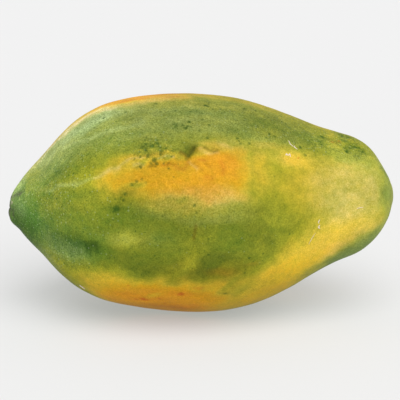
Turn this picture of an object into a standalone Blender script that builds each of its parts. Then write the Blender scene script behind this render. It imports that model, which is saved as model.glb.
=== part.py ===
"""A whole ripe papaya lying on its side, as one closed solid.

The fruit grew as one piece, so it is one object. Its axis lies along X, with the blossom end at -X and the
stalk end at +X. It has nearly round cross-sections, five low ribs over its carpels, a straight cone towards the
blossom end with creases round the small pistil scar, and a narrower neck with a corky stalk scar in a dimple
that leans to the back. It rests on a small flat spot at z = 0, under its weight.

Run it with: blender --background --python part.py
"""

import math

import bmesh
import bpy
import numpy as np
from mathutils import Matrix

MM = 0.001  # the two tables below are in millimetres

# Cross-sections from the pistil scar to the stalk scar:
# distance along the axis, half height, half depth, rise of the centre, shift of the centre to the back.
SECTIONS = (
    (-118.0, 0.0, 0.0, -2.4, 0.0),
    (-119.1, 2.4, 2.4, -2.4, 0.0),
    (-119.5, 4.8, 4.8, -2.4, 0.0),
    (-118.1, 8.6, 8.5, -2.4, 0.0),
    (-115.0, 13.0, 12.8, -2.3, 0.0),
    (-107.5, 21.8, 21.6, -2.2, -0.1),
    (-98.0, 31.4, 31.0, -2.1, -0.3),
    (-87.0, 43.2, 42.6, -1.9, -0.6),
    (-75.5, 52.8, 52.1, -1.2, -0.9),
    (-61.0, 60.2, 59.6, -0.4, -1.2),
    (-44.0, 64.6, 64.0, 0.0, -1.4),
    (-25.0, 67.0, 66.4, -0.2, -1.5),
    (-5.0, 67.8, 67.2, -0.8, -1.4),
    (15.0, 66.4, 65.6, -1.0, -1.0),
    (35.0, 61.6, 61.0, -0.8, -0.4),
    (54.0, 54.1, 53.9, 0.1, 0.4),
    (70.0, 46.3, 46.7, 1.6, 1.1),
    (84.0, 40.5, 41.3, 2.9, 1.7),
    (95.5, 36.0, 37.0, 3.8, 2.1),
    (104.5, 29.2, 30.0, 5.0, 2.4),
    (111.4, 19.6, 20.2, 5.3, 2.5),
    (115.7, 11.2, 11.4, 5.1, 2.5),
    (117.3, 7.8, 7.8, 5.0, 2.5),
    (116.5, 6.2, 6.2, 5.0, 2.5),
    (116.5, 4.0, 4.0, 5.0, 2.5),
    (116.8, 0.0, 0.0, 5.0, 2.5),
)
RINGS_PER_SECTION = 3
SEGMENTS = 60

# The lower half of the face at the blossom end leans up, and the face at the stalk end leans
# to the back: how far each moves along the axis per unit of height or depth.
BLOSSOM_LEAN_UP = 0.18
BLOSSOM_LEAN_FROM = -112.0 * MM
BLOSSOM_LEAN_EASE = 4.0 * MM
STALK_LEAN_BACK = 0.20
STALK_LEAN_FROM = 80.0 * MM

# Five ribs, one over each carpel. Angles run from the front (-Y) up over the top.
RIBS = 5
RIB_ANGLE = math.radians(32.0)
# Distance along the axis, height of a rib's crest over the mean form and depth of a groove under it.
RIB_HEIGHTS = (
    (-119.0, 0.0),
    (-111.0, 0.7),
    (-85.0, 1.2),
    (-30.0, 0.9),
    (50.0, 0.8),
    (95.0, 0.6),
    (112.0, 0.3),
    (116.0, 0.0),
)
CREASE_DEPTH = 0.9 * MM  # of the creases that run out from the pistil scar between the ribs
CREASE_REACH = 7.0 * MM
CREASE_WIDTH = math.radians(9.0)
SCAR_RADIUS = 4.0 * MM  # the creases start at the rim of the pistil scar

FLAT_DEPTH = 0.9 * MM  # how much of the belly the flat spot takes off

SKIN_GREEN_GOLD = (0.42, 0.42, 0.06, 1.0)
SKIN_ROUGHNESS = 0.45


def smoothstep(low, high, value):
    share = np.clip((value - low) / (high - low), 0.0, 1.0)
    return share * share * (3.0 - 2.0 * share)


def section_at(station):
    """The cross-section at a fractional row of SECTIONS, on a Catmull-Rom curve through the rows, in metres.

    Past each scar the curve goes on into the other half of the fruit, which makes the surface smooth there.
    """
    rows = np.array(SECTIONS) * MM
    other_half = np.array((1.0, -1.0, -1.0, 1.0, 1.0))
    padded = np.vstack([rows[1] * other_half, rows, rows[-2] * other_half])
    slopes = (padded[2:] - padded[:-2]) / 2
    low = np.clip(np.floor(station).astype(int), 0, len(rows) - 2)
    t = (station - low)[:, None]
    start, end = rows[low], rows[low + 1]
    leave, arrive = slopes[low], slopes[low + 1]
    return (
        (2 * t**3 - 3 * t**2 + 1) * start
        + (t**3 - 2 * t**2 + t) * leave
        + (3 * t**2 - 2 * t**3) * end
        + (t**3 - t**2) * arrive
    )


def plain_form(station, angle):
    """Points on the fruit without its ribs: ellipses round the axis, with the faces at both ends leaning."""
    along, half_height, half_depth, rise, shift = section_at(station).T
    up = half_height * np.sin(angle)
    back = -half_depth * np.cos(angle)
    near_blossom = smoothstep(-BLOSSOM_LEAN_FROM, -SECTIONS[0][0] * MM, -along)
    near_stalk = smoothstep(STALK_LEAN_FROM, SECTIONS[-1][0] * MM, along)
    below = (up - np.hypot(up, BLOSSOM_LEAN_EASE)) / 2
    lean = near_blossom * BLOSSOM_LEAN_UP * below - near_stalk * STALK_LEAN_BACK * back
    return np.stack([along + lean, shift + back, rise + up], axis=1)


def outward(station, angle):
    """Unit normals of the plain form, from its slopes along and around."""
    step = 1e-3
    inner = np.clip(station, 2 * step, len(SECTIONS) - 1 - 2 * step)
    along = plain_form(inner + step, angle) - plain_form(inner - step, angle)
    around = plain_form(inner, angle + step) - plain_form(inner, angle - step)
    normal = np.cross(along, around)
    return normal / np.linalg.norm(normal, axis=1, keepdims=True)


def rib_relief(station, angle):
    """Height of the ribs and of the creases between them at the blossom end, in metres."""
    along, half_height = section_at(station).T[:2]
    places, heights = np.array(RIB_HEIGHTS).T * MM
    ribs = np.interp(along, places, heights) * np.cos(RIBS * (angle - RIB_ANGLE))
    turn = 2 * math.pi / RIBS
    from_groove = (angle - RIB_ANGLE) % turn - turn / 2
    creases = -CREASE_DEPTH * np.exp(-((from_groove / CREASE_WIDTH) ** 2))
    from_scar = (along - SECTIONS[0][0] * MM) / CREASE_REACH
    near_scar = np.exp(-(from_scar**2)) * smoothstep(0.0, SCAR_RADIUS, half_height)
    return ribs + creases * near_scar


def shape_fruit(bm):
    """Moves each vertex of a unit sphere, whose poles are on X, to its place on the fruit."""
    ball = np.array([vert.co for vert in bm.verts])
    station = np.arccos(np.clip(-ball[:, 0], -1.0, 1.0)) / math.pi * (len(SECTIONS) - 1)
    angle = np.arctan2(ball[:, 2], -ball[:, 1])
    relief = rib_relief(station, angle)[:, None]
    places = plain_form(station, angle) + outward(station, angle) * relief
    for vert, place in zip(bm.verts, places):
        vert.co = place


def set_down(bm):
    """Centres the fruit over the origin and lowers it until the flat spot can be cut at z = 0."""
    places = np.array([vert.co for vert in bm.verts])
    low, high = places.min(axis=0), places.max(axis=0)
    middle = (low + high) / 2
    bmesh.ops.translate(bm, verts=bm.verts, vec=(-middle[0], -middle[1], -low[2] - FLAT_DEPTH))


def cut_flat_spot(bm):
    """Takes off what hangs below z = 0 and closes the cut with one flat face."""
    everything = bm.verts[:] + bm.edges[:] + bm.faces[:]
    bmesh.ops.bisect_plane(bm, geom=everything, plane_co=(0, 0, 0), plane_no=(0, 0, -1), clear_outer=True)
    rim = [edge for edge in bm.edges if edge.is_boundary]
    bmesh.ops.holes_fill(bm, edges=rim)
    bmesh.ops.recalc_face_normals(bm, faces=bm.faces)


def skin_material():
    material = bpy.data.materials.new("papaya_skin")
    material.use_nodes = True
    shader = material.node_tree.nodes["Principled BSDF"]
    shader.inputs["Base Color"].default_value = SKIN_GREEN_GOLD
    shader.inputs["Roughness"].default_value = SKIN_ROUGHNESS
    shader.inputs["Metallic"].default_value = 0.0
    return material


def make_papaya(collection):
    bm = bmesh.new()
    rings = RINGS_PER_SECTION * (len(SECTIONS) - 1)
    bmesh.ops.create_uvsphere(bm, u_segments=SEGMENTS, v_segments=rings, radius=1.0)
    bmesh.ops.rotate(bm, verts=bm.verts, matrix=Matrix.Rotation(math.pi / 2, 3, "Y"))
    shape_fruit(bm)
    set_down(bm)
    cut_flat_spot(bm)
    mesh = bpy.data.meshes.new("papaya")
    bm.to_mesh(mesh)
    bm.free()
    mesh.shade_smooth()
    mesh.set_sharp_from_angle(angle=math.radians(40.0))
    mesh.materials.append(skin_material())
    collection.objects.link(bpy.data.objects.new("papaya", mesh))


def main():
    for obj in list(bpy.data.objects):
        bpy.data.objects.remove(obj)
    collection = bpy.data.collections.new("papaya")
    bpy.context.scene.collection.children.link(collection)
    make_papaya(collection)


main()
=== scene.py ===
"""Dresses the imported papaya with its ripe, mottled skin, dents and scars, on a pale studio floor.

The file is laid out as a Blender add-on. Run as a script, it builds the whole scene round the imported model.
Places on the fruit are given as a distance along its axis, from the blossom end at -X to the stalk end at +X,
and as an angle round it, from the front (-Y) up over the top.
"""

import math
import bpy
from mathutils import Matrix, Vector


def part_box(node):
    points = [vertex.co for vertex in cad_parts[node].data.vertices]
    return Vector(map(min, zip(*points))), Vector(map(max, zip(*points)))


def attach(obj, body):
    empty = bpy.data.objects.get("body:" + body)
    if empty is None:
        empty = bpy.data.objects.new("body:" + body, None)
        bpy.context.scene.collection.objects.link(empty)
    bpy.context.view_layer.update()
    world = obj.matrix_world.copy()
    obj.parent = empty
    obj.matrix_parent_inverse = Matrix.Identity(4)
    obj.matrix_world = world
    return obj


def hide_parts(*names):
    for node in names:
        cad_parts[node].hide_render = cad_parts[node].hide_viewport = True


bl_info = {
    "name": "Papaya",
    "version": (1, 0, 0),
    "blender": (4, 5, 0),
    "location": "3D View > Sidebar > Papaya",
    "description": "Builds a ripe papaya's skin, scars and studio round its packed model",
    "category": "Add Mesh",
}

import bmesh
import bpy
import numpy as np
from bpy.props import FloatProperty, FloatVectorProperty, IntProperty, PointerProperty
from mathutils import Matrix, Vector, noise
from mathutils.bvhtree import BVHTree

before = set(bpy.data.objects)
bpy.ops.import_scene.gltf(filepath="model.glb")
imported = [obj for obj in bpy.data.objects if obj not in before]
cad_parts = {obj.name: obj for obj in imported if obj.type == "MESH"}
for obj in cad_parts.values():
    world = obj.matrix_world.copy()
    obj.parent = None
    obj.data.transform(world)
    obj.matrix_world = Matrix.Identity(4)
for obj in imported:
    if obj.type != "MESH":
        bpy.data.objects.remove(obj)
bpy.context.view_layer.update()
FRUIT_LOW, FRUIT_HIGH = (np.array(corner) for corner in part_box("papaya"))

MM = 0.001  # the tables below are in millimetres and degrees

# ---------------------------------------------------------------------------------------------- form

# Cross-sections from the pistil scar to the stalk scar:
# distance along the axis, half height, half depth, rise of the centre, shift of the centre to the back.
SECTIONS = (
    (-118.0, 0.0, 0.0, -2.4, 0.0),
    (-119.1, 2.4, 2.4, -2.4, 0.0),
    (-119.5, 4.8, 4.8, -2.4, 0.0),
    (-118.1, 8.6, 8.5, -2.4, 0.0),
    (-115.0, 13.0, 12.8, -2.3, 0.0),
    (-107.5, 21.8, 21.6, -2.2, -0.1),
    (-98.0, 31.4, 31.0, -2.1, -0.3),
    (-87.0, 43.2, 42.6, -1.9, -0.6),
    (-75.5, 52.8, 52.1, -1.2, -0.9),
    (-61.0, 60.2, 59.6, -0.4, -1.2),
    (-44.0, 64.6, 64.0, 0.0, -1.4),
    (-25.0, 67.0, 66.4, -0.2, -1.5),
    (-5.0, 67.8, 67.2, -0.8, -1.4),
    (15.0, 66.4, 65.6, -1.0, -1.0),
    (35.0, 61.6, 61.0, -0.8, -0.4),
    (54.0, 54.1, 53.9, 0.1, 0.4),
    (70.0, 46.3, 46.7, 1.6, 1.1),
    (84.0, 40.5, 41.3, 2.9, 1.7),
    (95.5, 36.0, 37.0, 3.8, 2.1),
    (104.5, 29.2, 30.0, 5.0, 2.4),
    (111.4, 19.6, 20.2, 5.3, 2.5),
    (115.7, 11.2, 11.4, 5.1, 2.5),
    (117.3, 7.8, 7.8, 5.0, 2.5),
    (116.5, 6.2, 6.2, 5.0, 2.5),
    (116.5, 4.0, 4.0, 5.0, 2.5),
    (116.8, 0.0, 0.0, 5.0, 2.5),
)

# The faces at the two ends lean: how far each moves along the axis per unit of height or depth.
# At the blossom end only the lower half does, so that it stands out as the longest lobe.
BLOSSOM_LEAN_UP = 0.18
BLOSSOM_LEAN_FROM = -112.0 * MM
BLOSSOM_LEAN_EASE = 4.0 * MM
STALK_LEAN_BACK = 0.20
STALK_LEAN_FROM = 80.0 * MM

# Five ribs, one over each carpel.
RIBS = 5
RIB_ANGLE = math.radians(32.0)
# Distance along the axis, height of a rib's crest over the mean form and depth of a groove under it.
RIB_HEIGHTS = (
    (-119.0, 0.0),
    (-111.0, 0.7),
    (-85.0, 1.2),
    (-30.0, 0.9),
    (50.0, 0.8),
    (95.0, 0.6),
    (112.0, 0.3),
    (116.0, 0.0),
)
CREASE_DEPTH = 0.9 * MM  # of the creases that run out from the pistil scar between the ribs
CREASE_REACH = 7.0 * MM
CREASE_WIDTH = math.radians(9.0)
SCAR_RADIUS = 4.0 * MM

# Where the grid is finer, along and around the fruit: centre, reach, extra density.
FINE_ALONG = (-12.0, 28.0, 1.1)
FINE_AROUND = (35.0, 15.0, 1.5)
FINE_AT_ENDS = 1.6
ENDS_FROM = 14.0 * MM  # half height of the fruit where its finer ends begin
ENDS_FULL = 4.0 * MM  # half height where they are at their finest
GRID_SAMPLES = 2000  # steps in which the grid's density is added up
SLOPE_STEP = 1e-3  # step in station and in radians over which the form's slopes are taken

# Uneven growth: size of the waves and their height, in millimetres.
LUMPS = ((70.0, 1.1), (26.0, 0.32), (9.0, 0.09))
LUMP_SEED = 3.0  # another seed gives other lumps
BELLY_EASE = 6.0 * MM  # the relief fades in over this height, so that the flat spot stays flat

# Dents and low swellings: along, angle, half length, half width, turn, height.
DENTS = (
    (-6.0, 41.0, 6.5, 2.6, 32.0, -1.1),  # the deep dent over the ripest patch
    (-1.0, 41.5, 3.0, 2.0, 50.0, 0.45),  # the lip beside it
    (8.5, 43.0, 5.5, 1.5, -12.0, -0.45),
    (-22.0, 34.0, 9.0, 3.0, 8.0, -0.35),
    (-3.0, 34.0, 8.0, 2.0, -6.0, -0.3),
    (14.0, 29.0, 10.0, 5.0, 0.0, 0.35),
    (-16.0, 24.0, 12.0, 4.0, 4.0, 0.25),
    (-48.0, 12.0, 3.0, 2.5, 0.0, -0.3),
    (-62.0, -12.0, 5.0, 4.0, 20.0, -0.35),
    (-4.0, 1.0, 1.6, 6.0, 0.0, -0.2),
    (-71.0, -48.0, 5.0, 3.5, 20.0, -0.5),
    (-78.0, -42.0, 16.0, 9.0, -14.0, 0.6),
    (-52.0, -52.0, 16.0, 10.0, 8.0, 0.7),
    (92.0, 68.0, 7.0, 5.0, 0.0, -0.3),
    (108.0, 66.0, 3.5, 6.0, 0.0, -0.5),
    (60.0, 150.0, 12.0, 6.0, 20.0, -0.5),
    (-35.0, 200.0, 10.0, 5.0, -15.0, -0.6),
    (20.0, 236.0, 8.0, 4.0, 30.0, -0.4),
    (-118.5, 232.0, 4.0, 5.0, 0.0, 1.0),  # the longest lobe round the pistil scar
)

# Where the skin has begun to wrinkle: along, angle, half length, half width, turn, height.
# Wrinkles are creases between low cushions, stretched along the fruit.
WRINKLE_SIZE = 5.0
WRINKLE_STRETCH = 0.6
WRINKLE_BEND = (0.7, 0.8)  # how fine and how strong their bends are, in shares of their size
WRINKLE_WIDTH = 0.12  # of a crease, as a height of the noise
WRINKLE_LEAST = 0.02  # weight below which the skin is left smooth
WRINKLE_SEED = 7  # without a fixed seed the bends change with the clock
WRINKLES = (
    (-10.0, 32.0, 34.0, 13.0, 0.0, 0.5),
    (-30.0, 41.0, 16.0, 9.0, 0.0, 0.5),
    (-8.0, 20.0, 22.0, 5.0, 0.0, 0.3),
    (64.0, -8.0, 10.0, 12.0, 40.0, 0.3),
    (-20.0, 176.0, 30.0, 10.0, 0.0, 0.35),
    (30.0, 104.0, 30.0, 8.0, 0.0, 0.2),
)

# Single creases: places (along, angle) on the line, half width, depth, darkness, redness. The darkness is
# painted shade in the crease.
CREASES = (
    # the notch at the top of the ripest patch, and what runs down from it
    (((-4.2, 44.0), (-5.6, 41.8), (-7.4, 39.4)), 1.8, 0.60, 0.90, 0.0),
    (((-7.4, 39.4), (-8.6, 37.4)), 1.2, 0.45, 0.55, 0.0),
    (((-4.4, 43.6), (-5.8, 42.0)), 2.8, 0.10, 0.50, 0.0),
    (((-7.8, 36.4), (-8.1, 34.0), (-9.9, 31.7), (-12.6, 31.8), (-15.2, 33.4)), 1.3, 0.35, 0.10, 0.24),
    (((-11.9, 40.6), (-9.4, 39.6), (-7.6, 37.9)), 1.2, 0.30, 0.30, 0.26),
    (((-4.4, 35.0), (-2.2, 33.4), (0.3, 31.5)), 1.2, 0.35, 0.22, 0.10),
    (((-1.6, 37.0), (2.0, 36.5)), 0.7, 0.20, 0.05, 0.40),
    (((2.0, 35.0), (4.8, 33.1)), 1.0, 0.25, 0.15, 0.10),
    (((1.6, 44.0), (4.9, 42.6), (7.1, 41.7), (8.9, 42.6)), 1.1, 0.45, 0.55, 0.0),
    (((6.2, 43.0), (8.6, 42.9)), 1.6, 0.0, 0.35, 0.0),
    # short ones in the speckled patch and in the ripest skin
    (((-29.4, 33.0), (-27.4, 33.6), (-26.0, 33.0)), 1.0, 0.30, 0.55, 0.10),
    (((-22.4, 33.6), (-19.6, 33.8), (-17.6, 34.4)), 1.0, 0.25, 0.10, 0.28),
    (((-36.4, 32.4), (-34.4, 33.2)), 1.0, 0.25, 0.45, 0.0),
    (((-26.6, 36.2), (-25.6, 34.4)), 1.1, 0.20, 0.50, 0.0),
    (((11.0, 36.4), (12.6, 33.0), (12.0, 30.0)), 1.6, 0.12, 0.0, 0.30),
    (((2.5, 28.6), (6.0, 27.4)), 1.2, 0.12, 0.0, 0.22),
    # a thin brown mark on the belly
    (((-3.0, 4.6), (-3.8, 1.4), (-4.3, -2.2)), 0.9, 0.08, 0.45, 0.12),
    # at the blossom end
    (((-116.2, 60.0), (-113.0, 43.0), (-109.7, 41.0)), 1.5, 0.35, 0.0, 0.0),
    (((-117.8, -6.0), (-116.9, -17.0), (-116.0, -24.0)), 0.8, 0.35, 0.0, 0.0),
)

# Clusters of small pits: along, angle, half length, half width, number, smallest and largest radius.
PITS = (
    (72.0, 66.0, 5.0, 12.0, 12, 0.5, 1.0),
    (92.0, 66.0, 8.0, 10.0, 24, 0.5, 1.2),
    (90.0, 86.0, 6.0, 8.0, 12, 0.5, 1.0),
    (-8.0, 60.0, 12.0, 6.0, 8, 0.5, 1.0),
    (45.0, 196.0, 14.0, 9.0, 16, 0.5, 1.2),
    (-50.0, 150.0, 12.0, 9.0, 14, 0.5, 1.1),
)
PIT_DEPTH = 0.28
PIT_COLOUR = 0.6
PIT_SKIN_RADIUS = 60.0  # the fruit's radius that turns a pit's way round into an angle
PIT_SEED = 7

# Single dark spots that are a little sunk: along, angle, radius, strength.
SUNK_SPOTS = (
    # under the ripest patch and on its lower edge
    (-47.5, 11.7, 2.0, 1.0),
    (-48.0, 16.8, 0.8, 0.6),
    (-43.4, 16.3, 0.9, 0.7),
    (-42.3, 19.3, 1.2, 0.7),
    (-45.0, 17.8, 0.7, 0.6),
    (-36.0, 25.5, 1.1, 0.7),
    (-38.5, 24.0, 1.0, 0.6),
    (-33.0, 26.6, 0.8, 0.6),
    (-30.5, 25.0, 0.7, 0.4),
    (-3.1, 14.1, 0.9, 0.8),
    (-2.0, 10.5, 0.6, 0.5),
    (42.8, 29.9, 0.6, 0.5),
    # the speckled patch over it
    (-25.0, 48.4, 1.2, 0.8),
    (-30.7, 45.7, 0.9, 0.8),
    (-27.4, 44.4, 1.5, 0.9),
    (-24.6, 46.2, 1.0, 0.8),
    (-22.6, 43.6, 0.8, 0.7),
    (-33.5, 43.4, 0.9, 0.7),
    (-31.2, 42.1, 0.9, 0.9),
    (-21.8, 41.3, 1.0, 0.7),
    (-19.7, 43.0, 1.0, 0.8),
    (-15.7, 41.7, 0.8, 0.7),
    (-34.6, 41.2, 0.7, 0.6),
    (-22.4, 39.4, 1.0, 0.8),
    (-33.9, 38.4, 0.9, 0.7),
    (-29.6, 38.8, 1.2, 0.9),
    (-37.4, 37.4, 0.8, 0.7),
    (-26.2, 36.4, 1.4, 0.8),
    (-24.6, 34.6, 1.0, 0.7),
    (-27.8, 34.8, 1.0, 0.7),
    (-33.8, 32.6, 0.9, 0.8),
    (-20.7, 34.8, 0.8, 0.7),
    (-17.9, 34.9, 0.7, 0.6),
    (-16.2, 38.5, 0.9, 0.8),
    (-17.8, 32.2, 0.7, 0.7),
    (-12.2, 34.6, 0.6, 0.5),
    (-15.0, 28.0, 0.6, 0.4),
)

# Single dark spots that are flush with the skin: along, angle, radius, strength.
FLAT_SPOTS = (
    (3.3, 77.4, 1.3, 1.0),
    (4.6, 76.6, 0.9, 0.8),
    (-8.6, 74.3, 0.7, 0.8),
    (-14.5, 71.1, 0.8, 0.8),
    (-23.4, 70.5, 1.0, 0.7),
    (1.5, 68.8, 0.9, 0.7),
    (-26.7, 80.0, 1.1, 0.5),
    (-44.5, 74.6, 1.0, 0.6),
    (-57.1, 73.7, 0.9, 0.7),
    (-59.8, 69.8, 0.9, 0.6),
    (-6.1, 61.3, 1.0, 0.8),
    (-8.4, 56.6, 1.2, 0.9),
    (-7.0, 58.0, 0.8, 0.7),
    (-10.2, 58.8, 0.9, 0.7),
    (4.3, 50.1, 1.2, 0.7),
    (-30.9, 50.2, 0.6, 0.5),
    (5.5, 59.5, 0.9, 0.7),
    (26.8, 79.6, 0.9, 0.7),
    (12.2, 74.4, 0.7, 0.6),
    (40.9, 59.2, 0.9, 0.9),
    (43.8, 57.7, 0.8, 0.7),
    (21.7, 51.4, 0.9, 0.8),
    (22.4, 49.8, 0.7, 0.7),
    (23.4, 48.0, 0.8, 0.7),
    (28.7, 49.0, 0.9, 0.7),
    (59.2, 53.2, 1.0, 0.9),
    (62.0, 47.0, 1.0, 0.6),
    (74.1, 74.5, 1.6, 0.9),
    (72.7, 62.5, 1.0, 0.8),
    (68.9, 60.4, 1.0, 0.7),
    (88.0, 60.0, 1.2, 0.8),
    (91.0, 66.0, 1.3, 0.8),
    (95.0, 70.0, 1.0, 0.8),
    (98.0, 64.0, 1.0, 0.8),
    (110.5, 52.0, 1.3, 0.8),
)

# Small red spots: along, angle, radius, strength.
RED_SPOTS = (
    (-10.9, -36.2, 1.7, 1.0),
    (-12.6, -37.0, 1.0, 0.7),
    (-33.6, -44.0, 2.0, 1.0),
    (-31.4, -44.6, 1.2, 0.8),
    (-38.0, -45.0, 1.0, 0.6),
    (-24.0, -41.5, 0.9, 0.6),
    (-42.0, -33.0, 0.8, 0.5),
    (-21.0, -47.0, 1.1, 0.5),
    (-24.0, 172.0, 1.6, 0.7),
    (57.5, 43.6, 0.8, 0.6),
    (80.0, 69.8, 1.0, 0.35),
    (84.7, 75.0, 1.2, 0.35),
)


def smoothstep(low, high, value):
    """0 at low, 1 at high, and eased between them."""
    share = np.clip((value - low) / (high - low), 0.0, 1.0)
    return share * share * (3.0 - 2.0 * share)


def section_at(station):
    """The cross-section at a fractional row of SECTIONS, on a smooth curve through the rows, in metres."""
    rows = np.array(SECTIONS) * MM
    other_half = np.array((1.0, -1.0, -1.0, 1.0, 1.0))
    padded = np.vstack([rows[1] * other_half, rows, rows[-2] * other_half])
    slopes = (padded[2:] - padded[:-2]) / 2
    low = np.clip(np.floor(station).astype(int), 0, len(rows) - 2)
    t = (station - low)[:, None]
    start, end = rows[low], rows[low + 1]
    leave, arrive = slopes[low], slopes[low + 1]
    return (
        (2 * t**3 - 3 * t**2 + 1) * start
        + (t**3 - 2 * t**2 + t) * leave
        + (3 * t**2 - 2 * t**3) * end
        + (t**3 - t**2) * arrive
    )


def plain_form(station, angle):
    """Points on the fruit without its ribs: ellipses round the axis, with the faces at both ends leaning."""
    along, half_height, half_depth, rise, shift = section_at(station).T
    up = half_height * np.sin(angle)
    back = -half_depth * np.cos(angle)
    near_blossom = smoothstep(-BLOSSOM_LEAN_FROM, -SECTIONS[0][0] * MM, -along)
    near_stalk = smoothstep(STALK_LEAN_FROM, SECTIONS[-1][0] * MM, along)
    below = (up - np.hypot(up, BLOSSOM_LEAN_EASE)) / 2
    lean = near_blossom * BLOSSOM_LEAN_UP * below - near_stalk * STALK_LEAN_BACK * back
    return np.stack([along + lean, shift + back, rise + up], axis=1)


def outward(station, angle):
    """Unit normals of the plain form, from its slopes along and around."""
    step = SLOPE_STEP
    inner = np.clip(station, 2 * step, len(SECTIONS) - 1 - 2 * step)
    along = plain_form(inner + step, angle) - plain_form(inner - step, angle)
    around = plain_form(inner, angle + step) - plain_form(inner, angle - step)
    normal = np.cross(along, around)
    return normal / np.linalg.norm(normal, axis=1, keepdims=True)


def rib_relief(station, angle):
    """Height of the ribs and of the creases between them at the blossom end, in metres."""
    along, half_height = section_at(station).T[:2]
    places, heights = np.array(RIB_HEIGHTS).T * MM
    ribs = np.interp(along, places, heights) * np.cos(RIBS * (angle - RIB_ANGLE))
    turn = 2 * math.pi / RIBS
    from_groove = (angle - RIB_ANGLE) % turn - turn / 2
    creases = -CREASE_DEPTH * np.exp(-((from_groove / CREASE_WIDTH) ** 2))
    from_scar = (along - SECTIONS[0][0] * MM) / CREASE_REACH
    near_scar = np.exp(-(from_scar**2)) * smoothstep(0.0, SCAR_RADIUS, half_height)
    return ribs + creases * near_scar


def spread(count, places, density):
    """count + 1 values between the first and the last place, closer together where density is higher."""
    steps = np.diff(places) * (density[1:] + density[:-1]) / 2
    total = np.concatenate([[0.0], np.cumsum(steps)])
    return np.interp(np.linspace(0.0, total[-1], count + 1), total, places)


def ring_stations(rings):
    """The station of each ring: even along the skin, and closer over the finest detail."""
    station = np.linspace(0.0, len(SECTIONS) - 1, GRID_SAMPLES)
    along, half_height = section_at(station).T[:2]
    speed = np.hypot(np.gradient(along, station), np.gradient(half_height, station))
    centre, reach, extra = FINE_ALONG
    fine = 1.0 + extra * np.exp(-(((along / MM - centre) / reach) ** 2))
    fine += FINE_AT_ENDS * smoothstep(ENDS_FROM, ENDS_FULL, half_height)
    return spread(rings, station, speed * fine)


def segment_angles(segments):
    """The angle of each line from scar to scar, closer over the finest detail."""
    centre, reach, extra = FINE_AROUND
    angle = np.linspace(-180.0 + centre, 180.0 + centre, GRID_SAMPLES)
    fine = 1.0 + extra * np.exp(-(((angle - centre) / reach) ** 2))
    return np.radians(spread(segments, angle, fine))


def wrapped(angle):
    """The same angle between minus and plus half a turn."""
    return (angle + math.pi) % (2 * math.pi) - math.pi


def waves(places, size, seed):
    """Smooth noise between about -1 and 1 at each place, in waves of the given size in metres."""
    shift = Vector((seed, seed * 0.37, -seed))
    return np.array([noise.noise(Vector(place) / size + shift) for place in places])


class Skin:
    """The grid's points as places on the fruit: millimetres along, radians around, and the radius there."""

    def __init__(self, along, angle, radius):
        self.along = along
        self.angle = angle
        self.radius = radius

    def patch(self, along, angle, half_length, half_width, turn=0.0):
        """Distance from the middle of an oval patch, where 1 is its edge."""
        u = self.along - along
        v = wrapped(self.angle - math.radians(angle)) * self.radius
        cos, sin = math.cos(math.radians(turn)), math.sin(math.radians(turn))
        return np.hypot((u * cos + v * sin) / half_length, (v * cos - u * sin) / half_width)

    def line(self, points, half_width):
        """Distance from a line through places (along, angle) on the skin, where 1 is its edge."""
        least = np.full(len(self.along), np.inf)
        for (along, angle), (far_along, far_angle) in zip(points, points[1:]):
            u = self.along - along
            v = wrapped(self.angle - math.radians(angle)) * self.radius
            du, dv = far_along - along, math.radians(far_angle - angle) * self.radius
            share = np.clip((u * du + v * dv) / (du * du + dv * dv), 0.0, 1.0)
            least = np.minimum(least, np.hypot(u - share * du, v - share * dv))
        return least / half_width

    def soft_patch(self, *oval):
        """1 in the middle of an oval patch, falling off smoothly towards 0 outside it."""
        return np.exp(-(self.patch(*oval) ** 2))

    def soft_line(self, points, half_width):
        """1 on a line through places on the skin, falling off smoothly towards 0 beside it."""
        return np.exp(-(self.line(points, half_width) ** 2))

    def ragged(self, places, size, reach, seed):
        """The same places moved by noise, which makes the edges of patches uneven."""
        du = waves(places, size * MM, seed) * reach
        dv = waves(places, size * MM, seed + 31.0) * reach
        return Skin(self.along + du, self.angle + dv / self.radius, self.radius)


def pit_list():
    """Each scattered pit: along, angle, radius and strength of its colour."""
    draw = np.random.default_rng(PIT_SEED)
    pits = []
    for along, angle, half_length, half_width, count, smallest, largest in PITS:
        for _ in range(count):
            out = math.sqrt(draw.uniform())
            turn = draw.uniform(0.0, 2 * math.pi)
            around = math.degrees(out * half_width * math.sin(turn) / PIT_SKIN_RADIUS)
            radius = draw.uniform(smallest, largest)
            pits.append((along + out * half_length * math.cos(turn), angle + around, radius, PIT_COLOUR))
    return pits


def growth_relief(skin, places, off_belly, settings):
    """Lumps, dents, wrinkles and pits of the grown skin, in metres. They fade out near the flat spot."""
    height = np.zeros(len(places))
    for number, (size, lump) in enumerate(LUMPS):
        height += settings.lump_strength * lump * waves(places, size * MM, LUMP_SEED + number)
    for *oval, depth in DENTS:
        height += settings.dent_strength * depth * skin.soft_patch(*oval)
    for *oval, depth in WRINKLES:
        weight = skin.soft_patch(*oval)
        near = weight > WRINKLE_LEAST
        height[near] += settings.dent_strength * depth * weight[near] * wrinkle(places[near])
    for points, half_width, depth, _, _ in CREASES:
        height -= settings.dent_strength * depth * skin.soft_line(points, half_width)
    for along, angle, radius, _ in (*SUNK_SPOTS, *pit_list()):
        height -= PIT_DEPTH * skin.soft_patch(along, angle, radius, radius)
    return height * off_belly * MM


def wrinkle(places):
    """0 on a cushion of wrinkled skin and -1 in a crease between two."""
    noise.seed_set(WRINKLE_SEED)
    fineness, reach = WRINKLE_BEND
    heights = []
    for place in places:
        at = Vector(place) / (WRINKLE_SIZE * MM)
        at.x *= WRINKLE_STRETCH
        at += noise.noise_vector(at * fineness) * reach
        heights.append(abs(noise.noise(at)))
    return -np.exp(-((np.array(heights) / WRINKLE_WIDTH) ** 2))


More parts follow.
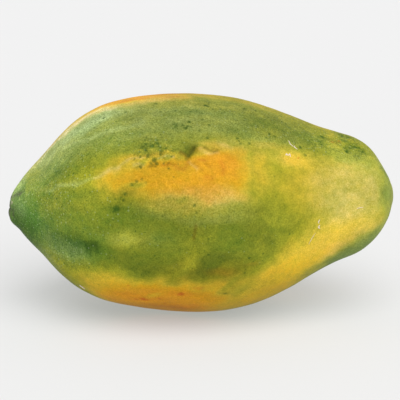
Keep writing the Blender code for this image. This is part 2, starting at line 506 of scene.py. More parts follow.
def fruit_mesh(settings):
    """The skin's fine grid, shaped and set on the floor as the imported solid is.

    Gives the bmesh, the grid as a Skin, its points, and each point's share of the way along and around.
    """
    bm = bmesh.new()
    rings, segments = settings.rings, settings.segments
    bmesh.ops.create_uvsphere(bm, u_segments=segments, v_segments=rings, radius=1.0)
    bmesh.ops.rotate(bm, verts=bm.verts, matrix=Matrix.Rotation(math.pi / 2, 3, "Y"))
    ball = np.array([vert.co for vert in bm.verts])
    ring = np.arccos(np.clip(-ball[:, 0], -1.0, 1.0)) / math.pi * rings
    segment = (np.arctan2(ball[:, 2], -ball[:, 1]) / (2 * math.pi) % 1.0) * segments
    station = np.interp(ring, np.arange(rings + 1), ring_stations(rings))
    angle = np.interp(segment, np.arange(segments + 1), segment_angles(segments))
    normal = outward(station, angle)
    places = plain_form(station, angle) + normal * rib_relief(station, angle)[:, None]
    middle = (places.min(axis=0) + places.max(axis=0)) / 2
    places[:, :2] += (FRUIT_LOW + FRUIT_HIGH)[:2] / 2 - middle[:2]
    places[:, 2] += FRUIT_HIGH[2] - places[:, 2].max()
    along, half_height = section_at(station).T[:2]
    skin = Skin(along / MM, angle, np.maximum(half_height / MM, 1.0))
    off_belly = smoothstep(0.0, BELLY_EASE, places[:, 2])
    relief = growth_relief(skin, places, off_belly, settings)
    places += normal * relief[:, None]
    places[:, 2] = np.maximum(places[:, 2], FRUIT_LOW[2])
    for vert, place in zip(bm.verts, places):
        vert.co = place
    return bm, skin, places, ring / rings, segment / segments


def add_uv_map(mesh, ring_share, segment_share):
    """Unrolls the skin into one rectangle, along by around, cut along one line from scar to scar."""
    verts = np.empty(len(mesh.loops), np.int32)
    mesh.loops.foreach_get("vertex_index", verts)
    starts = np.empty(len(mesh.polygons), np.int32)
    mesh.polygons.foreach_get("loop_start", starts)
    face = np.repeat(np.arange(len(starts)), np.diff(np.append(starts, len(verts))))
    u, v = ring_share[verts], segment_share[verts]
    at_pole = (u < 1e-6) | (u > 1 - 1e-6)
    high = np.maximum.reduceat(np.where(at_pole, -1.0, v), starts)[face]
    low = np.minimum.reduceat(np.where(at_pole, 2.0, v), starts)[face]
    v = np.where((high - low > 0.5) & (v < 0.5), v + 1.0, v)
    total = np.add.reduceat(np.where(at_pole, 0.0, v), starts)
    beside = total / np.add.reduceat(~at_pole * 1.0, starts)
    v = np.where(at_pole, beside[face], v)
    layer = mesh.uv_layers.new(name="OFBake")
    layer.data.foreach_set("uv", np.stack([u, v], axis=1).astype(np.float32).ravel())


# -------------------------------------------------------------------------------------------- colour

# Every table of patches gives: along, angle, half length, half width, turn, softness of the edge, value.
# Each patch in turn pulls the skin under it towards its own value.

# Ripeness runs from 0, deep green, to 1, deep orange.
RIPENESS_START = 0.37
RIPENESS = (
    # broad zones
    (-104.0, 190.0, 26.0, 90.0, 0.0, 0.6, 0.22),
    (-106.0, 0.0, 34.0, 70.0, 0.0, 0.7, 0.20),
    (-112.0, 30.0, 12.0, 14.0, 0.0, 0.8, 0.14),
    (-113.0, 0.0, 6.0, 20.0, 0.0, 0.8, 0.12),
    (-96.0, 76.0, 16.0, 16.0, 0.0, 0.7, 0.40),
    (74.0, 16.0, 42.0, 33.0, 0.0, 0.5, 0.63),
    (115.0, 26.0, 9.0, 60.0, 0.0, 0.7, 0.22),
    (-86.0, 67.0, 11.0, 6.0, 0.0, 0.8, 0.48),
    (-68.0, 71.0, 10.0, 5.0, 0.0, 0.8, 0.12),
    (-50.0, 48.0, 20.0, 8.0, 0.0, 0.8, 0.31),
    (-52.0, 62.5, 13.0, 3.0, 8.0, 0.8, 0.38),
    (-38.0, 66.0, 22.0, 9.0, 0.0, 0.8, 0.44),
    # the top
    (42.0, 98.0, 64.0, 16.0, 0.0, 0.5, 0.60),
    (-94.0, 92.0, 18.0, 8.0, 0.0, 0.7, 0.55),
    (-44.0, 97.0, 50.0, 19.0, 0.0, 0.35, 0.72),
    (-38.0, 96.0, 24.0, 14.0, 0.0, 0.40, 0.98),
    (-18.0, 84.0, 10.0, 5.0, 0.0, 0.7, 0.82),
    (60.0, 85.0, 16.0, 8.0, 0.0, 0.8, 0.50),
    (-52.0, 84.0, 18.0, 4.0, 0.0, 0.8, 0.66),
    (-8.0, 78.0, 40.0, 5.0, 0.0, 0.8, 0.56),
    (79.0, 79.0, 4.5, 10.0, 0.0, 0.7, 0.55),
    (88.0, 87.0, 5.0, 8.0, 0.0, 0.7, 0.38),
    (98.0, 68.0, 9.0, 18.0, 0.0, 0.8, 0.48),
    (84.0, 56.0, 8.0, 5.0, 0.0, 0.8, 0.44),
    (4.0, 62.0, 14.0, 7.0, 0.0, 0.8, 0.49),
    (40.0, 60.0, 8.0, 4.0, 0.0, 0.8, 0.50),
    # the ripest patch in front
    (-20.0, 24.0, 58.0, 15.0, 3.0, 0.7, 0.57),
    (-40.0, 28.0, 22.0, 8.0, 4.0, 0.7, 0.80),
    (-8.0, 28.0, 25.0, 11.5, 3.0, 0.5, 0.91),
    (9.0, 30.0, 13.5, 15.0, 0.0, 0.55, 0.95),
    (16.0, 36.0, 7.0, 8.0, 0.0, 0.7, 0.90),
    (15.0, 23.0, 8.0, 7.0, 0.0, 0.7, 0.88),
    (7.0, 35.0, 11.0, 6.0, 0.0, 0.8, 0.99),
    (24.0, 32.0, 3.6, 8.0, 0.0, 0.8, 0.78),
    (-14.0, 32.0, 14.0, 4.5, 0.0, 0.8, 0.86),
    (-28.0, 45.0, 14.0, 6.6, 3.0, 0.6, 0.44),
    (-8.0, 47.5, 9.0, 6.0, 14.0, 0.6, 0.42),
    (-42.0, 37.5, 9.0, 3.0, 8.0, 0.8, 0.66),
    (-25.0, 39.4, 9.0, 2.2, 4.0, 0.8, 0.68),
    (-33.0, 36.0, 2.4, 1.6, 0.0, 0.8, 0.52),
    (-19.5, 37.0, 2.2, 1.8, 0.0, 0.8, 0.56),
    (-11.5, 38.2, 3.0, 2.0, 20.0, 0.8, 0.66),
    (-2.0, 41.6, 5.0, 1.8, 0.0, 0.8, 0.74),
    (20.5, 43.0, 5.0, 4.0, 0.0, 0.8, 0.80),
    (-37.0, 24.5, 6.0, 2.4, 6.0, 0.8, 0.56),
    (14.0, 16.5, 12.0, 5.0, 0.0, 0.7, 0.90),
    (12.0, 45.5, 13.0, 3.0, 0.0, 0.8, 0.76),
    (17.0, 10.5, 13.0, 4.6, 0.0, 0.8, 0.62),
    (-42.0, 8.0, 24.0, 7.0, 4.0, 0.8, 0.30),
    (-74.0, 16.0, 16.0, 12.0, 0.0, 0.8, 0.30),
    (-69.0, 14.5, 6.0, 3.6, 0.0, 0.9, 0.40),
    (-12.0, 10.5, 8.0, 4.0, 0.0, 0.9, 0.50),
    (-14.0, 14.0, 20.0, 4.2, -4.0, 0.9, 0.61),
    (-36.0, -14.0, 8.0, 5.0, 0.0, 0.9, 0.31),
    # the stalk half
    (18.0, 49.0, 14.0, 4.0, 0.0, 0.8, 0.52),
    (33.0, 36.0, 6.0, 14.0, 0.0, 0.8, 0.66),
    (44.0, 49.0, 10.0, 5.0, 0.0, 0.8, 0.60),
    (36.0, 2.0, 22.0, 15.0, -24.0, 0.8, 0.40),
    (54.0, 41.0, 10.0, 5.0, -8.0, 0.7, 0.76),
    (64.0, -14.0, 8.0, 4.0, 48.0, 0.8, 0.60),
    (51.0, -13.0, 8.0, 5.0, 20.0, 0.8, 0.64),
    (84.0, -18.0, 20.0, 13.0, 0.0, 0.7, 0.70),
    (60.0, -28.0, 30.0, 12.0, 10.0, 0.5, 0.74),
    (102.0, -31.0, 11.0, 12.0, 0.0, 0.8, 0.66),
    # the blossom half and the belly
    (-42.0, -3.2, 18.5, 5.2, 1.0, 0.65, 0.47),
    (-3.0, -4.0, 6.0, 8.0, 0.0, 0.8, 0.43),
    (19.0, -3.0, 8.0, 9.0, 0.0, 0.8, 0.31),
    (-22.0, -4.0, 7.0, 6.0, 0.0, 0.8, 0.29),
    (6.0, -22.0, 26.0, 6.0, 0.0, 0.8, 0.54),
    (-82.0, -14.0, 24.0, 9.0, 4.0, 0.6, 0.07),
    (-72.0, -4.0, 14.0, 5.0, 0.0, 0.8, 0.23),
    (-109.0, -32.0, 14.0, 26.0, 0.0, 0.7, -0.02),
    (-84.0, -38.0, 15.0, 15.0, 0.0, 0.7, 0.30),
    (-70.0, -40.0, 13.0, 13.0, 0.0, 0.7, 0.48),
    (-52.0, -36.0, 16.0, 14.0, -6.0, 0.5, 0.68),
    (-18.0, -50.0, 38.0, 28.0, 0.0, 0.28, 0.86),
    (-22.0, -50.0, 36.0, 23.0, 0.0, 0.5, 1.00),
    (6.0, -30.0, 20.0, 5.0, 0.0, 0.8, 0.76),
    (-27.0, -37.0, 7.0, 2.4, 24.0, 0.8, 0.78),
    (-13.0, -27.5, 6.0, 2.6, 0.0, 0.9, 0.68),
    (0.0, -24.5, 6.0, 2.6, 0.0, 0.9, 0.56),
    (-11.0, -18.5, 14.0, 4.6, 50.0, 0.9, 0.50),
    (5.0, -16.5, 11.0, 3.6, 42.0, 0.8, 0.31),
    (22.0, -26.0, 12.0, 2.6, 40.0, 0.8, 0.52),
    (34.0, -50.0, 32.0, 15.0, 6.0, 0.6, 0.74),
    (95.0, -54.0, 19.0, 13.0, 12.0, 0.45, 0.20),
    # the back and the underside
    (60.0, 170.0, 46.0, 46.0, 0.0, 0.6, 0.56),
    (-20.0, 176.0, 52.0, 15.0, 2.0, 0.5, 0.84),
    (14.0, 180.0, 24.0, 10.0, 0.0, 0.5, 0.94),
    (-30.0, 142.0, 60.0, 16.0, 0.0, 0.5, 0.36),
    (-20.0, 214.0, 62.0, 18.0, 0.0, 0.5, 0.34),
    (20.0, 250.0, 60.0, 18.0, 0.0, 0.5, 0.66),
    (-30.0, 252.0, 30.0, 12.0, 0.0, 0.5, 0.78),
    (66.0, 226.0, 26.0, 14.0, 20.0, 0.6, 0.70),
    (112.0, 190.0, 14.0, 60.0, 0.0, 0.6, 0.44),
)

# Shade is how light or dark the skin is for its ripeness: mostly the skin's own tone, and in places painted
# shade and light, darker along the underside and lighter along the top.
SHADE_START = 0.91
SHADE = (
    (6.0, 68.0, 66.0, 26.0, 0.0, 0.6, 0.77),
    (90.0, 70.0, 20.0, 22.0, 0.0, 0.7, 1.03),
    (42.0, 70.0, 18.0, 9.0, 0.0, 0.8, 0.70),
    (-64.0, 61.0, 16.0, 8.0, 0.0, 0.8, 1.06),
    (-96.0, 62.0, 18.0, 16.0, 0.0, 0.7, 1.10),
    (-86.0, 78.0, 18.0, 8.0, 0.0, 0.7, 0.84),
    # painted light: lighter along the top, as lit from above
    (-52.0, 95.0, 40.0, 13.0, 0.0, 0.6, 1.26),
    (-8.0, 96.0, 20.0, 8.0, 0.0, 0.8, 0.86),
    (-84.0, 18.0, 32.0, 30.0, 0.0, 0.7, 1.22),
    (-110.0, 6.0, 12.0, 30.0, 0.0, 0.8, 1.50),
    (-108.0, -38.0, 12.0, 11.0, 0.0, 0.8, 0.68),
    (-60.0, 44.0, 22.0, 8.0, 0.0, 0.8, 1.06),
    (-24.0, 42.0, 24.0, 7.5, 0.0, 0.7, 0.90),
    (-24.0, 18.0, 26.0, 10.0, 0.0, 0.8, 0.78),
    (6.0, 7.0, 26.0, 9.0, 0.0, 0.8, 0.80),
    (8.0, 31.0, 17.0, 11.0, 0.0, 0.6, 1.02),
    (14.0, 36.0, 6.0, 4.0, 0.0, 0.8, 1.10),
    (8.0, 10.5, 30.0, 4.5, 0.0, 0.8, 0.77),
    (-18.0, 25.0, 14.0, 5.0, 0.0, 0.8, 0.97),
    (-35.0, 39.5, 7.0, 3.6, 0.0, 0.8, 0.78),
    (-8.0, 44.5, 6.0, 3.0, 0.0, 0.8, 0.76),
    (34.0, 18.0, 22.0, 28.0, 0.0, 0.8, 0.96),
    (-46.0, -3.2, 15.0, 5.2, 1.0, 0.65, 1.20),
    (-78.0, -13.0, 18.0, 7.0, 4.0, 0.7, 0.90),
    (-65.0, -12.0, 5.5, 4.2, 10.0, 0.8, 0.66),
    (-54.0, -14.0, 6.0, 4.0, 0.0, 0.8, 0.98),
    (-29.0, -3.0, 9.0, 5.0, 0.0, 0.8, 0.90),
    (-40.0, -27.0, 14.0, 4.0, 0.0, 0.8, 0.86),
    (24.0, 0.0, 14.0, 9.0, 0.0, 0.8, 0.83),
    (28.0, 14.0, 8.0, 5.0, 0.0, 0.8, 0.80),
    (-28.0, -18.0, 20.0, 6.0, 0.0, 0.8, 0.82),
    (6.0, -22.0, 26.0, 9.0, 0.0, 0.8, 0.62),
    (66.0, -4.0, 14.0, 9.0, 0.0, 0.8, 0.86),
    (9.0, -16.0, 8.0, 6.0, 0.0, 0.8, 0.66),
    (-50.0, -31.0, 9.0, 3.6, 0.0, 0.8, 0.96),
    (0.0, -32.0, 9.0, 3.6, 0.0, 0.8, 0.90),
    (-8.0, -17.5, 9.0, 3.0, 45.0, 0.8, 0.92),
    (54.0, 41.0, 12.0, 6.0, -8.0, 0.8, 1.14),
    (80.0, 8.0, 18.0, 18.0, 0.0, 0.8, 1.06),
    (74.0, -23.0, 34.0, 15.0, 6.0, 0.6, 1.30),
    (-70.0, -27.0, 30.0, 10.0, 0.0, 0.8, 1.20),
    (-16.0, -42.0, 40.0, 15.0, 0.0, 0.7, 1.10),
    (14.0, -42.0, 16.0, 18.0, 0.0, 0.7, 0.92),
    # painted shade: the lowest band, darker towards the floor
    (0.0, -57.0, 74.0, 9.0, 0.0, 0.8, 0.80),
    (90.0, -50.0, 16.0, 13.0, 0.0, 0.7, 0.86),
    (114.0, 0.0, 8.0, 70.0, 0.0, 0.8, 1.12),
)

# Pale wax, and a pale grey-green band over the upper left shoulder.
WAX_START = 0.03
WAX = (
    (-24.0, 68.0, 80.0, 22.0, 0.0, 0.7, 0.24),
    (-108.0, 62.0, 13.0, 15.0, 0.0, 0.7, 0.24),
    (-96.0, 50.0, 18.0, 11.0, 0.0, 0.8, 0.24),
    # the pale grey-green band over the upper left shoulder
    (-84.0, 77.0, 36.0, 12.0, 0.0, 0.5, 0.62),
    (-56.0, 57.0, 20.0, 4.0, 0.0, 0.8, 0.22),
    (-66.0, 75.0, 14.0, 6.0, 0.0, 0.8, 0.78),
    (-104.0, 40.0, 12.0, 8.0, 0.0, 0.8, 0.20),
    (-106.0, 60.0, 8.0, 9.0, 0.0, 0.8, 0.12),
    (42.0, 70.0, 20.0, 10.0, 0.0, 0.8, 0.10),
    (88.0, 20.0, 20.0, 22.0, 0.0, 0.7, 0.21),
    (78.0, -20.0, 20.0, 9.0, 0.0, 0.8, 0.07),
    (-90.0, 12.0, 20.0, 16.0, 0.0, 0.8, 0.06),
    (13.0, 15.0, 13.0, 7.0, 0.0, 0.8, 0.14),
    (-8.0, 19.0, 14.0, 4.5, 0.0, 0.8, 0.13),
    (4.0, 8.5, 18.0, 4.0, 0.0, 0.8, 0.14),
    (-16.0, 12.0, 18.0, 5.0, -4.0, 0.8, 0.11),
    (-112.0, 13.0, 4.0, 6.0, 0.0, 0.8, 0.20),
    (-42.0, -2.6, 18.0, 4.6, 1.0, 0.8, 0.09),
    (54.0, 41.0, 10.0, 5.0, -8.0, 0.8, 0.08),
    (-8.0, 12.0, 12.0, 5.0, 0.0, 0.8, 0.10),
    (-82.0, -18.0, 13.0, 6.0, 0.0, 0.8, 0.22),
    (-96.0, -44.0, 10.0, 10.0, 0.0, 0.8, 0.16),
    (93.0, -50.0, 20.0, 15.0, 0.0, 0.7, 0.20),
    (-88.0, 130.0, 34.0, 14.0, 6.0, 0.7, 0.45),
    (-70.0, 214.0, 40.0, 14.0, 0.0, 0.7, 0.35),
    (70.0, 176.0, 30.0, 16.0, 0.0, 0.8, 0.15),
)

# Painted highlights: pale lines along the crests of ribs and the upper edges of bumps, where the light
# catches them. Places (along, angle) on the line, half width, strength.
RIDGE_HIGHLIGHT_LINES = (
    (((-92.0, 28.0), (-77.6, 29.5), (-68.9, 28.9), (-60.4, 30.4), (-53.4, 32.5), (-46.0, 34.1)), 1.3, 0.22),
    (((-46.0, 34.1), (-39.7, 37.5), (-33.0, 38.5)), 0.9, 0.15),
    (((-83.7, 61.9), (-75.7, 59.3), (-65.0, 57.3), (-55.3, 57.1), (-45.8, 57.9), (-33.7, 61.6)), 2.0, 0.22),
    (((-96.0, 84.0), (-84.0, 86.0), (-70.0, 87.0), (-58.0, 86.0)), 1.4, 0.35),
    (((-7.4, 35.4), (-5.6, 33.2), (-3.1, 31.4)), 0.9, 0.14),
    (((-39.0, 35.0), (-35.6, 35.6), (-33.0, 34.4)), 0.7, 0.18),
    (((-25.3, 37.2), (-22.5, 38.2), (-19.1, 37.6), (-15.6, 37.4)), 0.7, 0.20),
    (((-1.2, 41.6), (3.1, 40.6), (8.6, 40.6)), 1.2, 0.14),
    (((10.0, 46.4), (13.0, 45.4), (18.0, 44.6)), 1.4, 0.10),
)

# Dark green blotches.
BLOTCHES_START = 0.0
BLOTCHES = (
    (40.0, 68.0, 44.0, 12.0, 0.0, 0.8, 0.12),
    (-65.0, -12.0, 4.6, 4.0, 25.0, 0.8, 0.95),
    (-78.0, -16.0, 14.0, 6.0, 8.0, 0.8, 0.25),
    (-47.5, 12.0, 4.5, 3.2, 0.0, 0.8, 0.45),
    (-44.0, 19.0, 6.0, 2.6, 10.0, 0.8, 0.30),
    (-82.0, 40.0, 5.0, 4.0, 0.0, 0.8, 0.45),
    (-36.0, -22.0, 9.0, 3.4, -8.0, 0.8, 0.30),
    (-109.0, -32.0, 11.0, 14.0, 0.0, 0.8, 0.25),
    (-118.0, 225.0, 5.0, 9.0, 0.0, 0.8, 0.60),
    # painted shade in the deep dent over the ripest patch
    (-7.0, 42.0, 6.0, 2.6, 32.0, 0.8, 0.40),
    (-27.0, 44.0, 12.0, 5.0, 0.0, 0.8, 0.32),
    (74.0, 72.0, 4.0, 12.0, 0.0, 0.8, 0.35),
    (84.0, 84.0, 2.5, 12.0, 0.0, 0.8, 0.25),
    (91.0, 76.0, 5.0, 10.0, 0.0, 0.8, 0.30),
    (90.0, 88.0, 5.0, 5.0, 0.0, 0.8, 0.40),
    (14.0, -37.0, 1.3, 1.0, 0.0, 0.7, 0.50),
    (110.0, 51.0, 2.5, 4.0, 0.0, 0.8, 0.45),
    (68.0, 57.0, 7.0, 4.0, 0.0, 0.8, 0.25),
    (-58.0, 150.0, 9.0, 6.0, 20.0, 0.8, 0.50),
    (-30.0, 206.0, 12.0, 5.0, -8.0, 0.8, 0.50),
    (48.0, 196.0, 13.0, 8.0, 0.0, 0.8, 0.45),
    (60.0, 132.0, 7.0, 5.0, 0.0, 0.8, 0.50),
)

# How gritty the skin is: its specks, its pores and its fine unevenness.
GRIT_START = 0.14
GRIT = (
    (-98.0, 24.0, 30.0, 50.0, 0.0, 0.6, 0.80),
    (-62.0, 62.0, 28.0, 22.0, 0.0, 0.6, 0.62),
    (-60.0, 10.0, 20.0, 16.0, 0.0, 0.8, 0.45),
    (-86.0, -16.0, 28.0, 16.0, 0.0, 0.7, 0.60),
    (8.0, 66.0, 76.0, 21.0, 0.0, 0.6, 0.46),
    (60.0, 68.0, 30.0, 14.0, 0.0, 0.7, 0.52),
    (-28.0, 42.0, 16.0, 9.0, 0.0, 0.6, 0.62),
    (90.0, 74.0, 18.0, 20.0, 0.0, 0.6, 0.75),
    (0.0, -6.0, 60.0, 18.0, 0.0, 0.7, 0.30),
    (-24.0, 27.0, 22.0, 8.0, 0.0, 0.8, 0.26),
    (-10.0, 14.0, 26.0, 6.0, 0.0, 0.8, 0.44),
    (86.0, 20.0, 24.0, 22.0, 0.0, 0.8, 0.08),
    (0.0, 130.0, 80.0, 22.0, 0.0, 0.6, 0.45),
    (10.0, 208.0, 70.0, 20.0, 0.0, 0.6, 0.45),
)

# Where the skin is puckered into short folds, which get bumps and painted light and shade in the colour.
PUCKER_START = 0.10
PUCKER = (
    (-6.0, 21.0, 26.0, 6.0, 0.0, 0.8, 1.0),
    (4.0, 31.0, 20.0, 8.0, 0.0, 0.8, 0.5),
    (-24.0, 40.0, 18.0, 9.0, 0.0, 0.8, 0.8),
    (4.0, 42.0, 18.0, 4.0, 0.0, 0.8, 0.9),
    (12.0, 16.0, 12.0, 6.0, 0.0, 0.8, 0.5),
)

# Reddish brown stains in the ripest skin.
RUST_START = 0.0
RUST = (
    (-38.0, -44.0, 5.0, 2.0, 0.0, 0.8, 0.30),
    (-2.0, -31.0, 2.6, 1.4, 0.0, 0.8, 0.40),
    (-12.0, -50.0, 12.0, 5.0, 0.0, 0.9, 0.40),
    (-30.0, -42.0, 16.0, 3.0, 2.0, 0.9, 0.22),
    (-44.0, -40.0, 8.0, 2.0, 0.0, 0.9, 0.20),
    (-14.0, -35.0, 12.0, 2.4, 0.0, 0.9, 0.22),
    (-26.0, -50.0, 8.0, 3.0, 0.0, 0.9, 0.30),
    (12.0, -21.5, 8.0, 2.2, -8.0, 0.9, 0.22),
    (30.0, -19.0, 4.0, 1.2, 0.0, 0.9, 0.14),
    (-42.0, 89.0, 8.0, 1.8, 0.0, 0.8, 0.40),
    (-18.0, 87.5, 6.0, 1.6, 0.0, 0.8, 0.30),
    (17.0, 39.0, 4.0, 2.4, 0.0, 0.9, 0.20),
    (82.0, 72.0, 4.0, 2.0, 0.0, 0.9, 0.12),
    (12.0, 182.0, 8.0, 4.0, 0.0, 0.9, 0.40),
)

# Painted shade: grey darkening along the creases by the blossom end. Places (along, angle) on the line, half
# width, strength.
BLOSSOM_CREASE_SHADE = (
    (((-115.8, 52.0), (-113.2, 43.0), (-111.4, 40.0)), 1.9, 1.0),
    (((-111.0, 41.0), (-108.6, 40.0)), 1.6, 0.55),
    (((-117.4, 4.0), (-117.0, -8.0), (-116.2, -18.0)), 0.8, 0.85),
)
GRIME_ALONG = -119.4  # the dry rim of the pistil scar
GRIME_REACH = 1.2

RAGGED_BROAD = (22.0, 3.5)  # size and reach of the unevenness of a patch's edge
RAGGED_FINE = (6.0, 1.8)
RIB_RIPENING = 0.03  # a rib's crest ripens ahead of the grooves beside it

# Single spots: share of the radius over which the edge fades, radius for a given size,
# and the size and reach of the unevenness of the edge.
SPOT_SOFTNESS = 0.65
SPOT_SIZE = 0.95
SPOT_SHAKE = (1.1, 0.75)

# The skin's unevenness: size of its waves in millimetres, and how much they are squeezed along each axis.
CLOUD_SIZE = 15.0
STREAK_SIZE = 8.0
STREAK_SQUEEZE = (0.42, 1.0, 1.0)
MOTTLE_SIZE = 4.2
GRAIN_SIZE = 0.8
FOLD_SIZE = 2.6
FOLD_SQUEEZE = (1.7, 0.8, 1.0)

# Specks and pores: size of their cells, share of the cells on the grittiest skin,
# smallest and largest radius in shares of a cell, strength.
COARSE_SPECKS = (2.6, 0.55, 0.14, 0.36, 0.60)
FINE_SPECKS = (1.4, 0.90, 0.25, 0.50, 0.30)
PORES = (1.5, 1.00, 0.16, 0.48, 0.24)
PORE_LACK = 0.20  # how much smaller the share of pores is than the grit
SPECK_EDGE = 2.5  # how crisp a speck's edge is
CELL_EDGE = 12.0  # how sharply a cell has a speck or has none

# How far each unevenness moves the ripeness. The first three count for more on gritty skin:
# SMOOTH_RIPENING is their share on smooth skin, and GRIT_RIPENING is how it grows with the grit.
STREAK_RIPENING = 0.30
MOTTLE_RIPENING = 0.32
GRAIN_RIPENING = 0.10
CLOUD_RIPENING = 0.10
SMOOTH_RIPENING = 0.45
GRIT_RIPENING = 1.1

# Ripeness at which the finish of unripe skin ends and that of ripe skin begins: from, to.
UNRIPE_FADES = (0.62, 0.45)
RIPE_BEGINS = (0.5, 0.75)

# How each unevenness breaks up a field: lowest and highest noise, strength of the field there.
STREAKS_IN_WAX = (0.25, 0.75, 0.7, 1.3)
GRAIN_IN_WAX = (0.25, 0.75, 0.6, 1.4)
MOTTLE_IN_RIDGE_HIGHLIGHTS = (0.3, 0.7, 0.4, 1.2)
MOTTLE_IN_BLOTCHES = (0.3, 0.7, 1.4, 0.5)
MOTTLE_IN_CREASE_SHADE = (0.25, 0.6, 0.8, 1.1)
MOTTLE_IN_GRIME = (0.3, 0.6, 0.2, 0.9)
SPECKS_ON_RIPE = 0.35  # strength that a speck keeps on ripe skin
DARK_SPOT_COVER = 0.85
RED_SPOT_COVER = 0.8

# How much each unevenness lightens or darkens the colour. The grain's share grows with the grit. The folds'
# share is painted light and shade on the sides of the folds.
MEAN_LIGHT = 0.965
SMOOTH_GRAIN_LIGHT = 0.55
GRIT_GRAIN_LIGHT = 1.7
MOTTLE_LIGHT = 0.50
CLOUD_LIGHT = 0.34
FOLD_PAINTED_LIGHT = 0.62

# Fine relief in the finish: depths in millimetres. Then the gloss.
MOTTLE_DEPTH = 0.16
GRAIN_DEPTH = 0.06
FOLD_DEPTH = 0.35
SPECK_DEPTH = 0.06
ROUGHNESS = 0.38
MOTTLE_ROUGHNESS = 0.16
WAX_ROUGHNESS = 0.12
SPECULAR = 0.04


def painted(skin, start, patches):
    """A field over the skin, where each patch in turn pulls the value towards its own."""
    value = np.full(len(skin.along), start)
    for *oval, softness, own in patches:
        weight = smoothstep(1.0 + softness, 1.0 - softness, skin.patch(*oval))
        value += (own - value) * weight
    return value


def skin_fields(skin, places):
    """The skin's colour fields at each point of its grid, by name."""
    broad = skin.ragged(places, *RAGGED_BROAD, seed=11.0)
    fine = broad.ragged(places, *RAGGED_FINE, seed=17.0)
    spots = skin.ragged(places, *RAGGED_FINE, seed=23.0)
    ripeness = painted(fine, RIPENESS_START, RIPENESS)
    ripeness += RIB_RIPENING * np.cos(RIBS * (skin.angle - RIB_ANGLE))
    blotches = painted(spots, BLOTCHES_START, BLOTCHES)
    for along, angle, radius, strength in pit_list():
        weight = strength * skin.soft_patch(along, angle, radius, radius)
        blotches = 1.0 - (1.0 - blotches) * (1.0 - weight)
    # painted shade in the creases, and reddish stains along some of them
    creases = np.zeros(len(skin.along))
    rust = painted(spots, RUST_START, RUST)
    for points, half_width, _, darkness, redness in CREASES:
        weight = skin.soft_line(points, half_width)
        creases = np.maximum(creases, darkness * weight)
        rust = np.maximum(rust, redness * weight)
    # dry grey brown skin on the pistil scar's rim, and painted shade along the creases by the blossom end
    grime_and_shade = np.exp(-(((skin.along - GRIME_ALONG) / GRIME_REACH) ** 2))
    for points, half_width, strength in BLOSSOM_CREASE_SHADE:
        grime_and_shade = np.maximum(grime_and_shade, strength * skin.soft_line(points, half_width))
    # painted highlights along the crests of ribs and the upper edges of bumps
    ridge_highlights = np.zeros(len(skin.along))
    for points, half_width, strength in RIDGE_HIGHLIGHT_LINES:
        ridge_highlights = np.maximum(ridge_highlights, strength * fine.soft_line(points, half_width))
    return {
        "ripeness": ripeness,
        "shade": painted(fine, SHADE_START, SHADE),
        "wax": painted(fine, WAX_START, WAX),
        "ridge_highlights": ridge_highlights,
        "blotches": blotches,
        "grit": painted(fine, GRIT_START, GRIT),
        "pucker": painted(fine, PUCKER_START, PUCKER),
        "creases": creases,
        "rust": rust,
        "grime_and_shade": grime_and_shade,
    }


